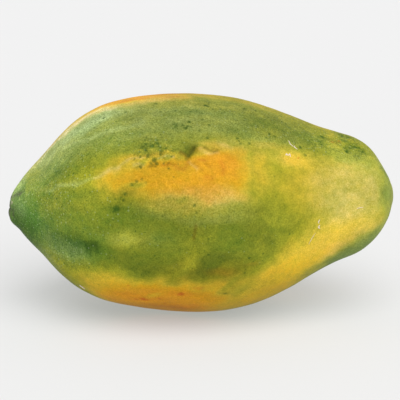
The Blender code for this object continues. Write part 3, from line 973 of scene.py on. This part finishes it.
class Graph:
    """Builds one material's nodes. Its shader is the Principled one that a new material starts with."""

    def __init__(self, name):
        self.material = bpy.data.materials.new(name)
        self.material.use_nodes = True
        self.tree = self.material.node_tree
        self.shader = self.tree.nodes["Principled BSDF"]

    def add(self, kind, inputs=(), **settings):
        """A new node with its settings made and its inputs filled."""
        node = self.tree.nodes.new(kind)
        for name, value in settings.items():
            setattr(node, name, value)
        for name, value in dict(inputs).items():
            self.put(node.inputs[name], value)
        return node

    def put(self, socket, value):
        """Links an output to the socket, or sets its value."""
        if isinstance(value, bpy.types.NodeSocket):
            self.tree.links.new(value, socket)
        else:
            socket.default_value = value

    def here(self, stretch=(1.0, 1.0, 1.0)):
        """The place on the object, squeezed along each axis by stretch."""
        where = self.add("ShaderNodeTexCoord").outputs["Object"]
        return self.add("ShaderNodeMapping", {"Vector": where, "Scale": stretch}).outputs["Vector"]

    def field(self, name):
        """One of the skin's fields, by name."""
        return self.add("ShaderNodeAttribute", attribute_name=name).outputs["Fac"]

    def around(self, value, reach):
        """A value that runs from 0 to 1, moved to run around 0 and scaled."""
        return self.math("MULTIPLY_ADD", value, reach, -0.5 * reach)

    def vector(self, operation, first, second=(0.0, 0.0, 0.0), output="Vector", scale=1.0):
        """One operation on two vectors, or on a vector and a scale."""
        inputs = {"Scale": scale} if operation == "SCALE" else {}
        node = self.add("ShaderNodeVectorMath", inputs, operation=operation)
        self.put(node.inputs[0], first)
        self.put(node.inputs[1], second)
        return node.outputs[output]

    def shaken(self, where, size, reach):
        """The place moved by noise in waves of size millimetres, by up to about reach millimetres."""
        inputs = {"Vector": where, "Scale": 1.0 / (size * MM), "Detail": 1.0}
        shake = self.add("ShaderNodeTexNoise", inputs).outputs["Color"]
        step = self.vector("SUBTRACT", shake, (0.5, 0.5, 0.5))
        return self.vector("ADD", where, self.vector("SCALE", step, scale=2.0 * reach * MM))

    def spots(self, where, surface, spots):
        """How much of each place lies in one of the round spots, from 0 to 1."""
        most = 0.0
        for along, angle, radius, strength in spots:
            middle, _ = surface.at(along, angle)
            away = self.vector("DISTANCE", where, middle, "Value")
            edge = (1.0 + SPOT_SOFTNESS) * SPOT_SIZE * radius * MM
            core = (1.0 - SPOT_SOFTNESS) * SPOT_SIZE * radius * MM
            most = self.math("MAXIMUM", most, self.span(away, edge, core, 0.0, strength))
        return most

    def noise(self, where, size, detail=3.0, roughness=0.55, distortion=0.0):
        """Noise from 0 to 1 in waves of size millimetres."""
        inputs = {
            "Vector": where,
            "Scale": 1.0 / (size * MM),
            "Detail": detail,
            "Roughness": roughness,
            "Distortion": distortion,
        }
        return self.add("ShaderNodeTexNoise", inputs).outputs["Fac"]

    def cells(self, where, size, feature="F1"):
        """Irregular cells of size millimetres."""
        inputs = {"Vector": where, "Scale": 1.0 / (size * MM)}
        return self.add("ShaderNodeTexVoronoi", inputs, feature=feature)

    def math(self, operation, first, second=0.0, third=0.0, clamp=False):
        """One operation on up to three values."""
        node = self.add("ShaderNodeMath", operation=operation, use_clamp=clamp)
        for socket, value in zip(node.inputs, (first, second, third)):
            self.put(socket, value)
        return node.outputs["Value"]

    def span(self, value, low, high, to_low=0.0, to_high=1.0):
        """value's share of the way from low to high, eased, as a value from to_low to to_high."""
        inputs = {"Value": value, "From Min": low, "From Max": high, "To Min": to_low, "To Max": to_high}
        return self.add("ShaderNodeMapRange", inputs, interpolation_type="SMOOTHSTEP").outputs["Result"]

    def product(self, first, *others):
        """All the values multiplied."""
        for other in others:
            first = self.math("MULTIPLY", first, other)
        return first

    def mix(self, share, first, second, blend="MIX"):
        """Two colours mixed. Each is an output or three numbers."""
        node = self.add("ShaderNodeMix", data_type="RGBA", blend_type=blend)
        sockets = {socket.identifier: socket for socket in node.inputs}
        self.put(sockets["Factor_Float"], share)
        for name, colour in (("A_Color", first), ("B_Color", second)):
            linked = isinstance(colour, bpy.types.NodeSocket)
            self.put(sockets[name], colour if linked else (*colour, 1.0))
        return next(socket for socket in node.outputs if socket.identifier == "Result_Color")

    def ramp(self, value, stops):
        """A colour for each value, through stops of (value, colour)."""
        node = self.add("ShaderNodeValToRGB", {"Fac": value})
        elements = node.color_ramp.elements
        while len(elements) < len(stops):
            elements.new(1.0)
        for element, (place, colour) in zip(elements, stops):
            element.position = place
            element.color = (*colour, 1.0)
        return node.outputs["Color"]

    def bump(self, height, depth, under=None):
        """A normal from a height that runs from 0 to 1, for depth millimetres."""
        inputs = {"Height": height, "Distance": depth * MM, "Strength": 1.0}
        if under is not None:
            inputs["Normal"] = under
        return self.add("ShaderNodeBump", inputs).outputs["Normal"]


def pick(graph, cells, channel):
    """One of a cell's three random numbers."""
    return graph.add("ShaderNodeSeparateColor", {"Color": cells.outputs["Color"]}).outputs[channel]


def speckle(graph, where, grit, specks, lack=0.0):
    """Round specks, one to a cell, in more of the cells where the skin is gritty."""
    size, most, smallest, largest, strength = specks
    share = graph.math("MULTIPLY_ADD", grit, most, -lack)
    cells = graph.cells(where, size)
    present = graph.math("SUBTRACT", graph.math("ADD", pick(graph, cells, "Red"), share), 1.0)
    present = graph.math("MULTIPLY", present, CELL_EDGE, clamp=True)
    radius = graph.math("MULTIPLY_ADD", pick(graph, cells, "Green"), largest - smallest, smallest)
    inside = graph.math("SUBTRACT", 1.0, graph.math("DIVIDE", cells.outputs["Distance"], radius))
    inside = graph.math("MULTIPLY", inside, SPECK_EDGE, clamp=True)
    return graph.product(inside, present, strength)


def skin_material(settings, surface):
    """The skin's finish, from the fields laid over its grid and from noise on the object."""
    graph = Graph("papaya_skin")
    here = graph.here()
    grit = graph.field("grit")
    clouds = graph.noise(here, CLOUD_SIZE, detail=2.0)
    streaks = graph.noise(graph.here(STREAK_SQUEEZE), STREAK_SIZE, detail=5.0, roughness=0.62, distortion=0.4)
    mottle = graph.noise(here, MOTTLE_SIZE, detail=4.0, roughness=0.68)
    grain = graph.noise(here, GRAIN_SIZE, detail=2.0, roughness=0.7)

    # the skin ripens unevenly, most of all where it is gritty: in streaks, in small flecks and in grains
    shift = graph.around(streaks, STREAK_RIPENING)
    shift = graph.math("ADD", shift, graph.around(mottle, MOTTLE_RIPENING))
    shift = graph.math("ADD", shift, graph.around(grain, GRAIN_RIPENING))
    shift = graph.product(shift, graph.math("MULTIPLY_ADD", grit, GRIT_RIPENING, SMOOTH_RIPENING))
    shift = graph.math("ADD", shift, graph.around(clouds, CLOUD_RIPENING))
    ripeness = graph.math("ADD", graph.field("ripeness"), shift)
    colour = graph.ramp(
        ripeness,
        (
            (0.00, settings.deep_green),
            (0.20, settings.green),
            (0.36, settings.mid_green),
            (0.50, settings.olive),
            (0.62, settings.yellow_green),
            (0.74, settings.yellow),
            (0.86, settings.golden),
            (1.00, settings.orange),
        ),
    )
    ripe = graph.span(ripeness, *RIPE_BEGINS)
    unripe = graph.span(ripeness, *UNRIPE_FADES)

    # pale wax, greenish on green skin and creamy on ripe skin, and painted highlights along the crests of
    # ribs and bumps in the same pale colours
    broken_wax = graph.product(
        graph.field("wax"), graph.span(streaks, *STREAKS_IN_WAX), graph.span(grain, *GRAIN_IN_WAX)
    )
    # painted highlight on the crests, broken up by the mottle, then laid over the wax
    crest = graph.product(graph.field("ridge_highlights"), graph.span(mottle, *MOTTLE_IN_RIDGE_HIGHLIGHTS))
    wax = graph.math("ADD", broken_wax, crest, clamp=True)
    colour = graph.mix(wax, colour, graph.mix(ripe, settings.wax, settings.ripe_wax))

    # dark green blotches with a broken edge, and single spots
    broken_edge = graph.span(mottle, *MOTTLE_IN_BLOTCHES)
    blotch = graph.math("MULTIPLY", graph.field("blotches"), broken_edge, clamp=True)
    colour = graph.mix(blotch, colour, settings.blotch)
    shaken = graph.shaken(here, *SPOT_SHAKE)
    spot = graph.spots(shaken, surface, (*SUNK_SPOTS, *FLAT_SPOTS))
    colour = graph.mix(graph.product(spot, DARK_SPOT_COVER), colour, settings.spot)
    red = graph.spots(shaken, surface, RED_SPOTS)
    colour = graph.mix(graph.product(red, RED_SPOT_COVER), colour, settings.rust)

    # dark specks of two sizes, fainter on ripe skin, and small pale pores, on green skin only
    coarse = speckle(graph, shaken, grit, COARSE_SPECKS)
    fine = speckle(graph, here, grit, FINE_SPECKS)
    on_ripe = graph.span(unripe, 0.0, 1.0, SPECKS_ON_RIPE, 1.0)
    speck = graph.product(graph.math("MAXIMUM", coarse, fine), on_ripe)
    colour = graph.mix(speck, colour, settings.spot)
    pore = speckle(graph, here, grit, PORES, PORE_LACK)
    colour = graph.mix(graph.product(pore, unripe), colour, settings.pore)

    # reddish stains, painted shade in the creases, and the grey brown grime round the pistil scar with
    # painted shade along the creases by the blossom end
    broken_crease_shade = graph.span(mottle, *MOTTLE_IN_CREASE_SHADE)
    crease = graph.math("MULTIPLY", graph.field("creases"), broken_crease_shade, clamp=True)
    grime_and_shade = graph.product(graph.field("grime_and_shade"), graph.span(mottle, *MOTTLE_IN_GRIME))
    colour = graph.mix(graph.field("rust"), colour, settings.rust)
    colour = graph.mix(crease, colour, settings.crease)
    colour = graph.mix(grime_and_shade, colour, settings.grime_and_shade)

    # the shade field, with light and dark grain, and painted light and shade on the short folds of puckered
    # skin
    folds = graph.noise(graph.here(FOLD_SQUEEZE), FOLD_SIZE, detail=2.0, distortion=0.6)
    folds = graph.product(graph.around(folds, 1.0), graph.field("pucker"))
    grain_light = graph.math("MULTIPLY_ADD", grit, GRIT_GRAIN_LIGHT, SMOOTH_GRAIN_LIGHT)
    light = graph.product(
        graph.math("MULTIPLY_ADD", graph.around(grain, 1.0), grain_light, MEAN_LIGHT),
        graph.math("ADD", graph.around(mottle, MOTTLE_LIGHT), 1.0),
        graph.math("ADD", graph.around(clouds, CLOUD_LIGHT), 1.0),
        graph.math("MULTIPLY_ADD", folds, FOLD_PAINTED_LIGHT, 1.0),
        graph.field("shade"),
    )
    grey = graph.add("ShaderNodeCombineColor", {"Red": light, "Green": light, "Blue": light})
    colour = graph.mix(1.0, colour, grey.outputs["Color"], "MULTIPLY")
    graph.put(graph.shader.inputs["Base Color"], colour)

    rough = graph.math("MULTIPLY_ADD", mottle, MOTTLE_ROUGHNESS, ROUGHNESS)
    rough = graph.math("MULTIPLY_ADD", wax, WAX_ROUGHNESS, rough)
    graph.put(graph.shader.inputs["Roughness"], rough)
    graph.shader.inputs["Specular IOR Level"].default_value = SPECULAR
    sunk = graph.product(graph.math("MAXIMUM", speck, spot), -1.0)
    normal = graph.bump(mottle, MOTTLE_DEPTH)
    normal = graph.bump(grain, GRAIN_DEPTH, under=normal)
    normal = graph.bump(folds, FOLD_DEPTH, under=normal)
    normal = graph.bump(sunk, SPECK_DEPTH, under=normal)
    graph.put(graph.shader.inputs["Normal"], normal)
    return graph.material


def scar_material(name, pale, dark):
    """Dry cork: pale, cracked and rough, darker in its cracks."""
    graph = Graph(name)
    here = graph.here()
    cracks = graph.cells(here, 1.3, "DISTANCE_TO_EDGE").outputs["Distance"]
    crack = graph.span(cracks, 0.14, 0.02)
    mottle = graph.noise(here, 1.6, detail=4.0)
    colour = graph.mix(graph.span(mottle, 0.3, 0.7), dark, pale)
    colour = graph.mix(graph.product(crack, 0.7), colour, dark)
    graph.put(graph.shader.inputs["Base Color"], colour)
    graph.put(graph.shader.inputs["Roughness"], graph.math("MULTIPLY_ADD", mottle, 0.2, 0.65))
    height = graph.math("SUBTRACT", mottle, crack)
    graph.put(graph.shader.inputs["Normal"], graph.bump(height, 0.25))
    return graph.material


def latex_material(colour):
    """Dried latex: a pale crust, a little glossy where it is thick."""
    graph = Graph("dried_latex")
    here = graph.here()
    mottle = graph.noise(here, 0.8, detail=3.0)
    shade = graph.mix(mottle, [0.7 * part for part in colour], colour)
    graph.put(graph.shader.inputs["Base Color"], shade)
    graph.put(graph.shader.inputs["Roughness"], graph.math("MULTIPLY_ADD", mottle, 0.25, 0.45))
    graph.put(graph.shader.inputs["Normal"], graph.bump(mottle, 0.06))
    return graph.material


def floor_material(colour, glow):
    """A matt pale sweep with a hardly visible paper grain. It glows a little, as a sweep lit from behind."""
    graph = Graph("studio_floor")
    grain = graph.noise(graph.here(), 3.0, detail=2.0)
    shade = graph.mix(grain, [0.99 * part for part in colour], colour)
    graph.put(graph.shader.inputs["Base Color"], shade)
    graph.shader.inputs["Roughness"].default_value = 0.9
    graph.shader.inputs["Specular IOR Level"].default_value = 0.0
    graph.shader.inputs["Emission Color"].default_value = (1.0, 1.0, 1.0, 1.0)
    graph.shader.inputs["Emission Strength"].default_value = glow
    return graph.material


# -------------------------------------------------------------------------------------------- pieces

SCAR_RINGS = 40
SCAR_SEGMENTS = 96
SCAR_WAVES = (0.8, 0.22)  # size and height of the unevenness of a scar's cork
SCAR_TEETH = 14  # low teeth round a scar's edge, one to each bundle of fibres
RIM_AT = 0.8  # where a scar's rim lies, as a share of its radius
RIM_WIDTH = 0.11
OUTLINE_WAVES = 2.0  # how fine the unevenness of a scar's outline is

# Radius, unevenness of the outline, height of the rim, height of the dome, thickness and how far it is sunk.
STALK_SCAR = (5.9, 0.05, 0.7, 0.5, 0.8, 0.3)
PISTIL_SCAR = (2.3, 0.12, 0.25, 0.5, 0.6, 0.2)

# Dried latex: each run as places (along, angle), and its greatest half width.
LATEX_RUNS = (
    (((52.2, 57.2), (53.2, 54.2), (55.0, 52.6)), 0.40),
    (((55.0, 52.6), (57.4, 50.8)), 0.42),
    (((55.2, 54.2), (56.4, 51.4)), 0.22),
    (((49.9, 44.3), (50.6, 45.6), (51.4, 44.4)), 0.62),
    (((51.4, 44.4), (52.4, 46.2), (52.9, 43.6)), 0.45),
    (((70.5, -1.0), (69.5, -2.6), (70.0, -4.0)), 0.45),
    (((70.5, -5.2), (69.6, -6.8), (70.8, -8.2)), 0.50),
    (((68.0, -10.5), (66.0, -14.0), (64.0, -18.0)), 0.20),
    (((93.0, 2.5), (95.0, 3.2), (97.0, 3.0)), 0.25),
    (((-116.6, 34.0), (-116.2, 27.0), (-116.4, 18.0)), 0.50),
    (((-72.6, -46.6), (-71.0, -48.6), (-69.4, -50.6)), 1.30),
    (((-20.0, 118.0), (-16.0, 121.0), (-14.0, 126.0)), 0.40),
    (((34.0, 168.0), (38.0, 165.0), (40.0, 160.0), (44.0, 158.0)), 0.45),
)
LATEX_SUNK = 0.62  # how far the middle of a run lies under the skin, in shares of its half width
LATEX_STEP = 0.4
LATEX_UNEVEN = 0.35
LATEX_WAVES = 1.3  # how fine the unevenness is
LATEX_THINNEST = 0.08
LATEX_TIP = 0.06  # where on a half wave a run starts and ends, so that its tips are thin but not sharp
LATEX_BLUNT = 0.6

ALONGSIDE = 0.05  # how far outside the end of the fruit a look at its scar starts
AXIS_LIFT = FRUIT_HIGH[2] - MM * max(half_height + rise for _, half_height, _, rise, _ in SECTIONS)

FLOOR_GAP = 0.3 * MM  # keeps the floor clear of the flat spot
SENSOR_WIDTH = 36.0

# Lights: name, where it shines from, share of the key light's strength, width of the source in degrees.
LIGHTS = (
    ("key_light", (0.22, -0.66, 1.10), 1.0, 60.0),
    ("fill_light", (1.00, -0.80, 0.15), 0.35, 60.0),
)


class Surface:
    """Finds places on the finished skin."""

    def __init__(self, bm):
        self.tree = BVHTree.FromBMesh(bm)

    def at(self, along, angle):
        """The point and the outward normal at a distance along (mm) and an angle round (degrees)."""
        turn = math.radians(angle)
        return self.hit(axis_at(along), Vector((0.0, -math.cos(turn), math.sin(turn))))

    def end(self, side):
        """The middle of the scar at one end: -1 is the blossom end and 1 the stalk end."""
        row = SECTIONS[0] if side < 0 else SECTIONS[-1]
        outside = axis_at(row[0]) + Vector((side * ALONGSIDE, 0.0, 0.0))
        return self.hit(outside, Vector((-side, 0.0, 0.0)))

    def hit(self, start, direction):
        """Where a look from start in a direction meets the skin, and the normal there."""
        point, normal, _, _ = self.tree.ray_cast(start, direction)
        if point is None:
            raise RuntimeError(f"no skin from {tuple(start)} towards {tuple(direction)}")
        return point, normal


def axis_at(along):
    """The middle of the cross-section at a distance along the fruit."""
    inner = np.array(SECTIONS)[3:-4]  # without the faces at the two ends
    rise, shift = (np.interp(along, inner[:, 0], inner[:, column]) * MM for column in (3, 4))
    return Vector((along * MM, shift, AXIS_LIFT + rise))


def new_piece(name, mesh, material):
    """Puts the mesh in the scene as a smooth piece on the fruit's body, with its material."""
    mesh.shade_smooth()
    mesh.materials.append(material)
    piece = bpy.data.objects.new(name, mesh)
    bpy.context.scene.collection.objects.link(piece)
    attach(piece, "root")
    return piece


def mesh_from(bm, name):
    """The bmesh as a mesh of this name."""
    mesh = bpy.data.meshes.new(name)
    bm.to_mesh(mesh)
    bm.free()
    return mesh


def make_skin(settings):
    """The fruit's skin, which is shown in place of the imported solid."""
    bm, skin, places, ring_share, segment_share = fruit_mesh(settings)
    surface = Surface(bm)
    mesh = mesh_from(bm, "papaya_skin")
    add_uv_map(mesh, ring_share, segment_share)
    for name, values in skin_fields(skin, places).items():
        mesh.attributes.new(name, "FLOAT", "POINT").data.foreach_set("value", values)
    piece = new_piece("papaya_skin", mesh, skin_material(settings, surface))
    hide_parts("papaya")


def finished_surface():
    """The surface of the skin that is in the scene."""
    piece = bpy.data.objects.get("papaya_skin")
    if piece is None:
        raise RuntimeError("make the skin first")
    bm = bmesh.new()
    bm.from_mesh(piece.data)
    surface = Surface(bm)
    bm.free()
    return surface


def scar_mesh(name, radius, lobes, rim, dome, thickness):
    """A cushion of cork lying flat: a rim and a dome over a round foot."""
    bm = bmesh.new()
    bmesh.ops.create_uvsphere(bm, u_segments=SCAR_SEGMENTS, v_segments=SCAR_RINGS, radius=1.0)
    wave_size, wave_height = SCAR_WAVES
    for vert in bm.verts:
        x, y, z = vert.co
        share = math.hypot(x, y)
        turn = math.atan2(y, x)
        outline = math.cos(RIBS * turn) + noise.noise(Vector((x, y, 3.0)) * OUTLINE_WAVES)
        out = radius * (1.0 + lobes * outline)
        place = Vector((x * out, y * out, 0.0))
        if z < 0:
            place.z = -thickness * (1.0 - share**4)
        else:
            teeth = 0.5 * math.cos(SCAR_TEETH * turn) * share
            uneven = wave_height * (noise.noise(place / wave_size) + teeth)
            place.z = rim * math.exp(-(((share - RIM_AT) / RIM_WIDTH) ** 2)) + dome * (1.0 - share**2)
            place.z += uneven * (1.0 - share**6)
        vert.co = place * MM
    return mesh_from(bm, name)


def make_scar(name, scar, material, place, normal):
    """Sets a scar on the skin at a place, facing along a normal, sunk a little into it."""
    *shape, sunk = scar
    mesh = scar_mesh(name, *shape)
    normal = normal.normalized()
    facing = Vector((0.0, 0.0, 1.0)).rotation_difference(normal).to_matrix().to_4x4()
    mesh.transform(Matrix.Translation(place - normal * sunk * MM) @ facing)
    new_piece(name, mesh, material)


def latex_curve(surface, run, half_width):
    """One run of dried latex as a curve, sunk into the skin so that only its flat back shows."""
    spots = [Vector((along, angle)) for along, angle in run]
    walk = []
    for first, second in zip(spots, spots[1:]):
        steps = max(2, round((second - first).length / LATEX_STEP))
        walk += [first.lerp(second, step / steps) for step in range(steps)]
    walk.append(spots[-1])
    curve = bpy.data.curves.new("latex_run", "CURVE")
    curve.dimensions = "3D"
    curve.bevel_depth = MM
    curve.bevel_resolution = 3
    curve.use_fill_caps = True
    spline = curve.splines.new("POLY")
    spline.points.add(len(walk) - 1)
    for number, (point, spot) in enumerate(zip(spline.points, walk)):
        share = number / (len(walk) - 1)
        uneven = 1.0 + LATEX_UNEVEN * noise.noise(spot.to_3d() * LATEX_WAVES)
        taper = math.sin(math.pi * (LATEX_TIP + (1.0 - 2.0 * LATEX_TIP) * share)) ** LATEX_BLUNT
        point.radius = max(LATEX_THINNEST, half_width * taper * uneven)
        place, normal = surface.at(spot.x, spot.y)
        point.co = (*(place - normal * LATEX_SUNK * point.radius * MM), 1.0)
    return curve


def make_latex(settings):
    """All the runs of dried latex, as one piece."""
    surface = finished_surface()
    joined = bmesh.new()
    for run, half_width in LATEX_RUNS:
        curve = latex_curve(surface, run, half_width)
        guide = bpy.data.objects.new("latex_run", curve)
        bpy.context.scene.collection.objects.link(guide)
        evaluated = guide.evaluated_get(bpy.context.evaluated_depsgraph_get())
        mesh = bpy.data.meshes.new_from_object(evaluated)
        joined.from_mesh(mesh)
        bpy.data.objects.remove(guide)
        bpy.data.curves.remove(curve)
        bpy.data.meshes.remove(mesh)
    bmesh.ops.remove_doubles(joined, verts=joined.verts, dist=0.01 * MM)
    new_piece("latex_marks", mesh_from(joined, "latex_marks"), latex_material(settings.latex))


def make_floor(settings):
    """The pale floor that the fruit lies on."""
    bm = bmesh.new()
    bmesh.ops.create_grid(bm, x_segments=8, y_segments=8, size=settings.floor_size / 2)
    bmesh.ops.translate(bm, verts=bm.verts, vec=(0.0, 0.0, FRUIT_LOW[2] - FLOOR_GAP))
    mesh = mesh_from(bm, "studio_floor")
    mesh.materials.append(floor_material(settings.floor, settings.floor_glow))
    floor = bpy.data.objects.new("studio_floor", mesh)
    bpy.context.scene.collection.objects.link(floor)


def make_sun(name, direction, strength, spread_angle):
    """A broad soft light that shines from a direction."""
    data = bpy.data.lights.new(name, "SUN")
    data.energy = strength
    data.angle = spread_angle
    light = bpy.data.objects.new(name, data)
    light.rotation_euler = Vector(direction).to_track_quat("Z", "Y").to_euler()
    bpy.context.scene.collection.objects.link(light)


def make_world(strength):
    """White light from all round."""
    world = bpy.data.worlds.new("studio_air")
    world.use_nodes = True
    world.node_tree.nodes["Background"].inputs["Color"].default_value = (1.0, 1.0, 1.0, 1.0)
    world.node_tree.nodes["Background"].inputs["Strength"].default_value = strength
    bpy.context.scene.world = world


def make_camera(settings):
    """The camera, which looks down at the fruit's front."""
    data = bpy.data.cameras.new("camera")
    data.lens = settings.lens
    data.sensor_width = SENSOR_WIDTH
    camera = bpy.data.objects.new("camera", data)
    back = Vector((0.0, -math.cos(settings.elevation), math.sin(settings.elevation)))
    camera.location = Vector((0.0, 0.0, settings.aim_height)) + back * settings.distance
    camera.rotation_euler = back.to_track_quat("Z", "Y").to_euler()
    bpy.context.scene.collection.objects.link(camera)
    bpy.context.scene.camera = camera


# -------------------------------------------------------------------------------------------- add-on


def colour_prop(name, description, default):
    """A colour setting."""
    return FloatVectorProperty(
        name=name, description=description, default=default, subtype="COLOR", size=3, min=0.0, max=1.0
    )


class PapayaSkinSettings(bpy.types.PropertyGroup):
    """Sizes and colours of the skin."""

    rings: IntProperty(name="Rings", description="Rings of faces from scar to scar", default=296, min=24)
    segments: IntProperty(name="Segments", description="Faces in each ring", default=332, min=24)
    lump_strength: FloatProperty(
        name="Lumps", description="Strength of the uneven growth", default=1.0, min=0.0, subtype="FACTOR"
    )
    dent_strength: FloatProperty(
        name="Dents", description="Strength of the dents and wrinkles", default=1.0, min=0.0, subtype="FACTOR"
    )
    deep_green: colour_prop("Deep green", "Unripe skin in the shade of a groove", (0.058, 0.148, 0.014))
    green: colour_prop("Green", "Unripe skin", (0.121, 0.191, 0.012))
    mid_green: colour_prop("Mid green", "Skin that begins to turn", (0.186, 0.216, 0.011))
    olive: colour_prop("Olive", "Skin half turned", (0.286, 0.281, 0.013))
    yellow_green: colour_prop("Yellow green", "Skin nearly turned", (0.391, 0.321, 0.015))
    yellow: colour_prop("Yellow", "Ripe skin", (0.526, 0.361, 0.014))
    golden: colour_prop("Golden", "Very ripe skin", (0.548, 0.306, 0.003))
    orange: colour_prop("Orange", "The ripest skin", (0.566, 0.262, 0.003))
    # also the colour of the painted highlights on the crests of green skin, as ripe_wax is on ripe skin
    wax: colour_prop("Wax", "The pale wax on green skin", (0.490, 0.610, 0.245))
    ripe_wax: colour_prop("Ripe wax", "The pale wax on ripe skin", (0.790, 0.670, 0.370))
    pore: colour_prop("Pores", "The palest pores", (0.500, 0.580, 0.330))
    blotch: colour_prop("Blotches", "Dark blotches", (0.040, 0.100, 0.008))
    spot: colour_prop("Spots", "Dark spots and specks", (0.042, 0.096, 0.010))
    # painted shade in the creases
    crease: colour_prop("Creases", "Dark skin in a crease", (0.085, 0.088, 0.006))
    rust: colour_prop("Rust", "Reddish brown spots", (0.420, 0.100, 0.010))
    # dry skin round the pistil scar, and the painted shade along the creases by the blossom end
    grime_and_shade: colour_prop("Grime", "Dry skin round the pistil scar", (0.066, 0.060, 0.038))


class PapayaMarksSettings(bpy.types.PropertyGroup):
    """Colours of the scars and of the dried latex."""

    cork: colour_prop("Cork", "Pale cork of the scars", (0.420, 0.330, 0.200))
    cork_cracks: colour_prop("Cork cracks", "Dark cracks in the cork", (0.070, 0.050, 0.030))
    pistil: colour_prop("Pistil scar", "Dry remains of the flower", (0.200, 0.160, 0.110))
    latex: colour_prop("Latex", "Dried latex on scratches", (0.780, 0.640, 0.500))


class PapayaStudioSettings(bpy.types.PropertyGroup):
    """The floor, the light and the camera."""

    floor: colour_prop("Floor", "Colour of the floor", (0.42, 0.42, 0.42))
    floor_glow: FloatProperty(name="Floor glow", description="Light that the floor gives off", default=0.36)
    floor_size: FloatProperty(
        name="Floor size", description="Side of the floor", default=16.0, unit="LENGTH"
    )
    key: FloatProperty(name="Key light", description="Strength of the key light", default=2.3, min=0.0)
    air: FloatProperty(
        name="Surrounding light", description="Strength of the light from all round", default=0.60
    )
    lens: FloatProperty(name="Lens", description="Focal length in millimetres", default=100.0, min=10.0)
    distance: FloatProperty(
        name="Distance", description="From the camera to the fruit", default=0.695, unit="LENGTH"
    )
    aim_height: FloatProperty(
        name="Aim height", description="Height that the camera looks at", default=0.069, unit="LENGTH"
    )
    elevation: FloatProperty(
        name="Elevation",
        description="How far the camera looks down",
        default=math.radians(15.0),
        unit="ROTATION",
    )


class PAPAYA_OT_skin(bpy.types.Operator):
    """Makes the fruit's skin with its ribs, dents and colours"""

    bl_idname = "papaya.skin"
    bl_label = "Skin"

    def execute(self, context):
        make_skin(context.scene.papaya_skin)
        return {"FINISHED"}


class PAPAYA_OT_scars(bpy.types.Operator):
    """Makes the corky stalk scar and the small pistil scar"""

    bl_idname = "papaya.scars"
    bl_label = "Scars"

    def execute(self, context):
        marks = context.scene.papaya_marks
        cork = scar_material("stalk_cork", marks.cork, marks.cork_cracks)
        dry = scar_material("dry_pistil", marks.pistil, marks.cork_cracks)
        surface = finished_surface()
        stalk_place, _ = surface.end(1)
        pistil_place, _ = surface.end(-1)
        to_stalk = Vector((1.0, STALK_LEAN_BACK, 0.0))
        to_blossom = Vector((-1.0, 0.0, BLOSSOM_LEAN_UP))
        make_scar("stalk_scar", STALK_SCAR, cork, stalk_place, to_stalk)
        make_scar("pistil_scar", PISTIL_SCAR, dry, pistil_place, to_blossom)
        return {"FINISHED"}


class PAPAYA_OT_latex(bpy.types.Operator):
    """Makes the runs of dried latex on the skin's scratches"""

    bl_idname = "papaya.latex"
    bl_label = "Latex"

    def execute(self, context):
        make_latex(context.scene.papaya_marks)
        return {"FINISHED"}


class PAPAYA_OT_studio(bpy.types.Operator):
    """Makes the floor, the soft light and the camera"""

    bl_idname = "papaya.studio"
    bl_label = "Studio"

    def execute(self, context):
        settings = context.scene.papaya_studio
        make_floor(settings)
        make_world(settings.air)
        for name, direction, share, spread_degrees in LIGHTS:
            make_sun(name, direction, settings.key * share, math.radians(spread_degrees))
        make_camera(settings)
        context.scene.view_settings.view_transform = "Standard"
        return {"FINISHED"}


class PAPAYA_PT_panel(bpy.types.Panel):
    """Lists the pieces in the order in which they are made"""

    bl_idname = "PAPAYA_PT_panel"
    bl_label = "Papaya"
    bl_space_type = "VIEW_3D"
    bl_region_type = "UI"
    bl_category = "Papaya"

    def draw(self, context):
        for operator in OPERATORS:
            self.layout.operator(operator.bl_idname)
        for name in SETTINGS:
            group = getattr(context.scene, name)
            box = self.layout.box()
            for prop in group.bl_rna.properties:
                if not prop.is_readonly and prop.identifier != "name":
                    box.prop(group, prop.identifier)


SETTINGS = {
    "papaya_skin": PapayaSkinSettings,
    "papaya_marks": PapayaMarksSettings,
    "papaya_studio": PapayaStudioSettings,
}
OPERATORS = (PAPAYA_OT_skin, PAPAYA_OT_scars, PAPAYA_OT_latex, PAPAYA_OT_studio)


def register():
    """Adds the settings, the operators and the panel."""
    for cls in (*SETTINGS.values(), *OPERATORS, PAPAYA_PT_panel):
        bpy.utils.register_class(cls)
    for name, group in SETTINGS.items():
        setattr(bpy.types.Scene, name, PointerProperty(type=group))


def unregister():
    """Takes away what register added."""
    for name in SETTINGS:
        delattr(bpy.types.Scene, name)
    for cls in (PAPAYA_PT_panel, *reversed(OPERATORS), *reversed(SETTINGS.values())):
        bpy.utils.unregister_class(cls)


def main():
    """Builds the whole scene."""
    register()
    bpy.ops.papaya.skin()
    bpy.ops.papaya.scars()
    bpy.ops.papaya.latex()
    bpy.ops.papaya.studio()


if __name__ == "__main__":
    main()
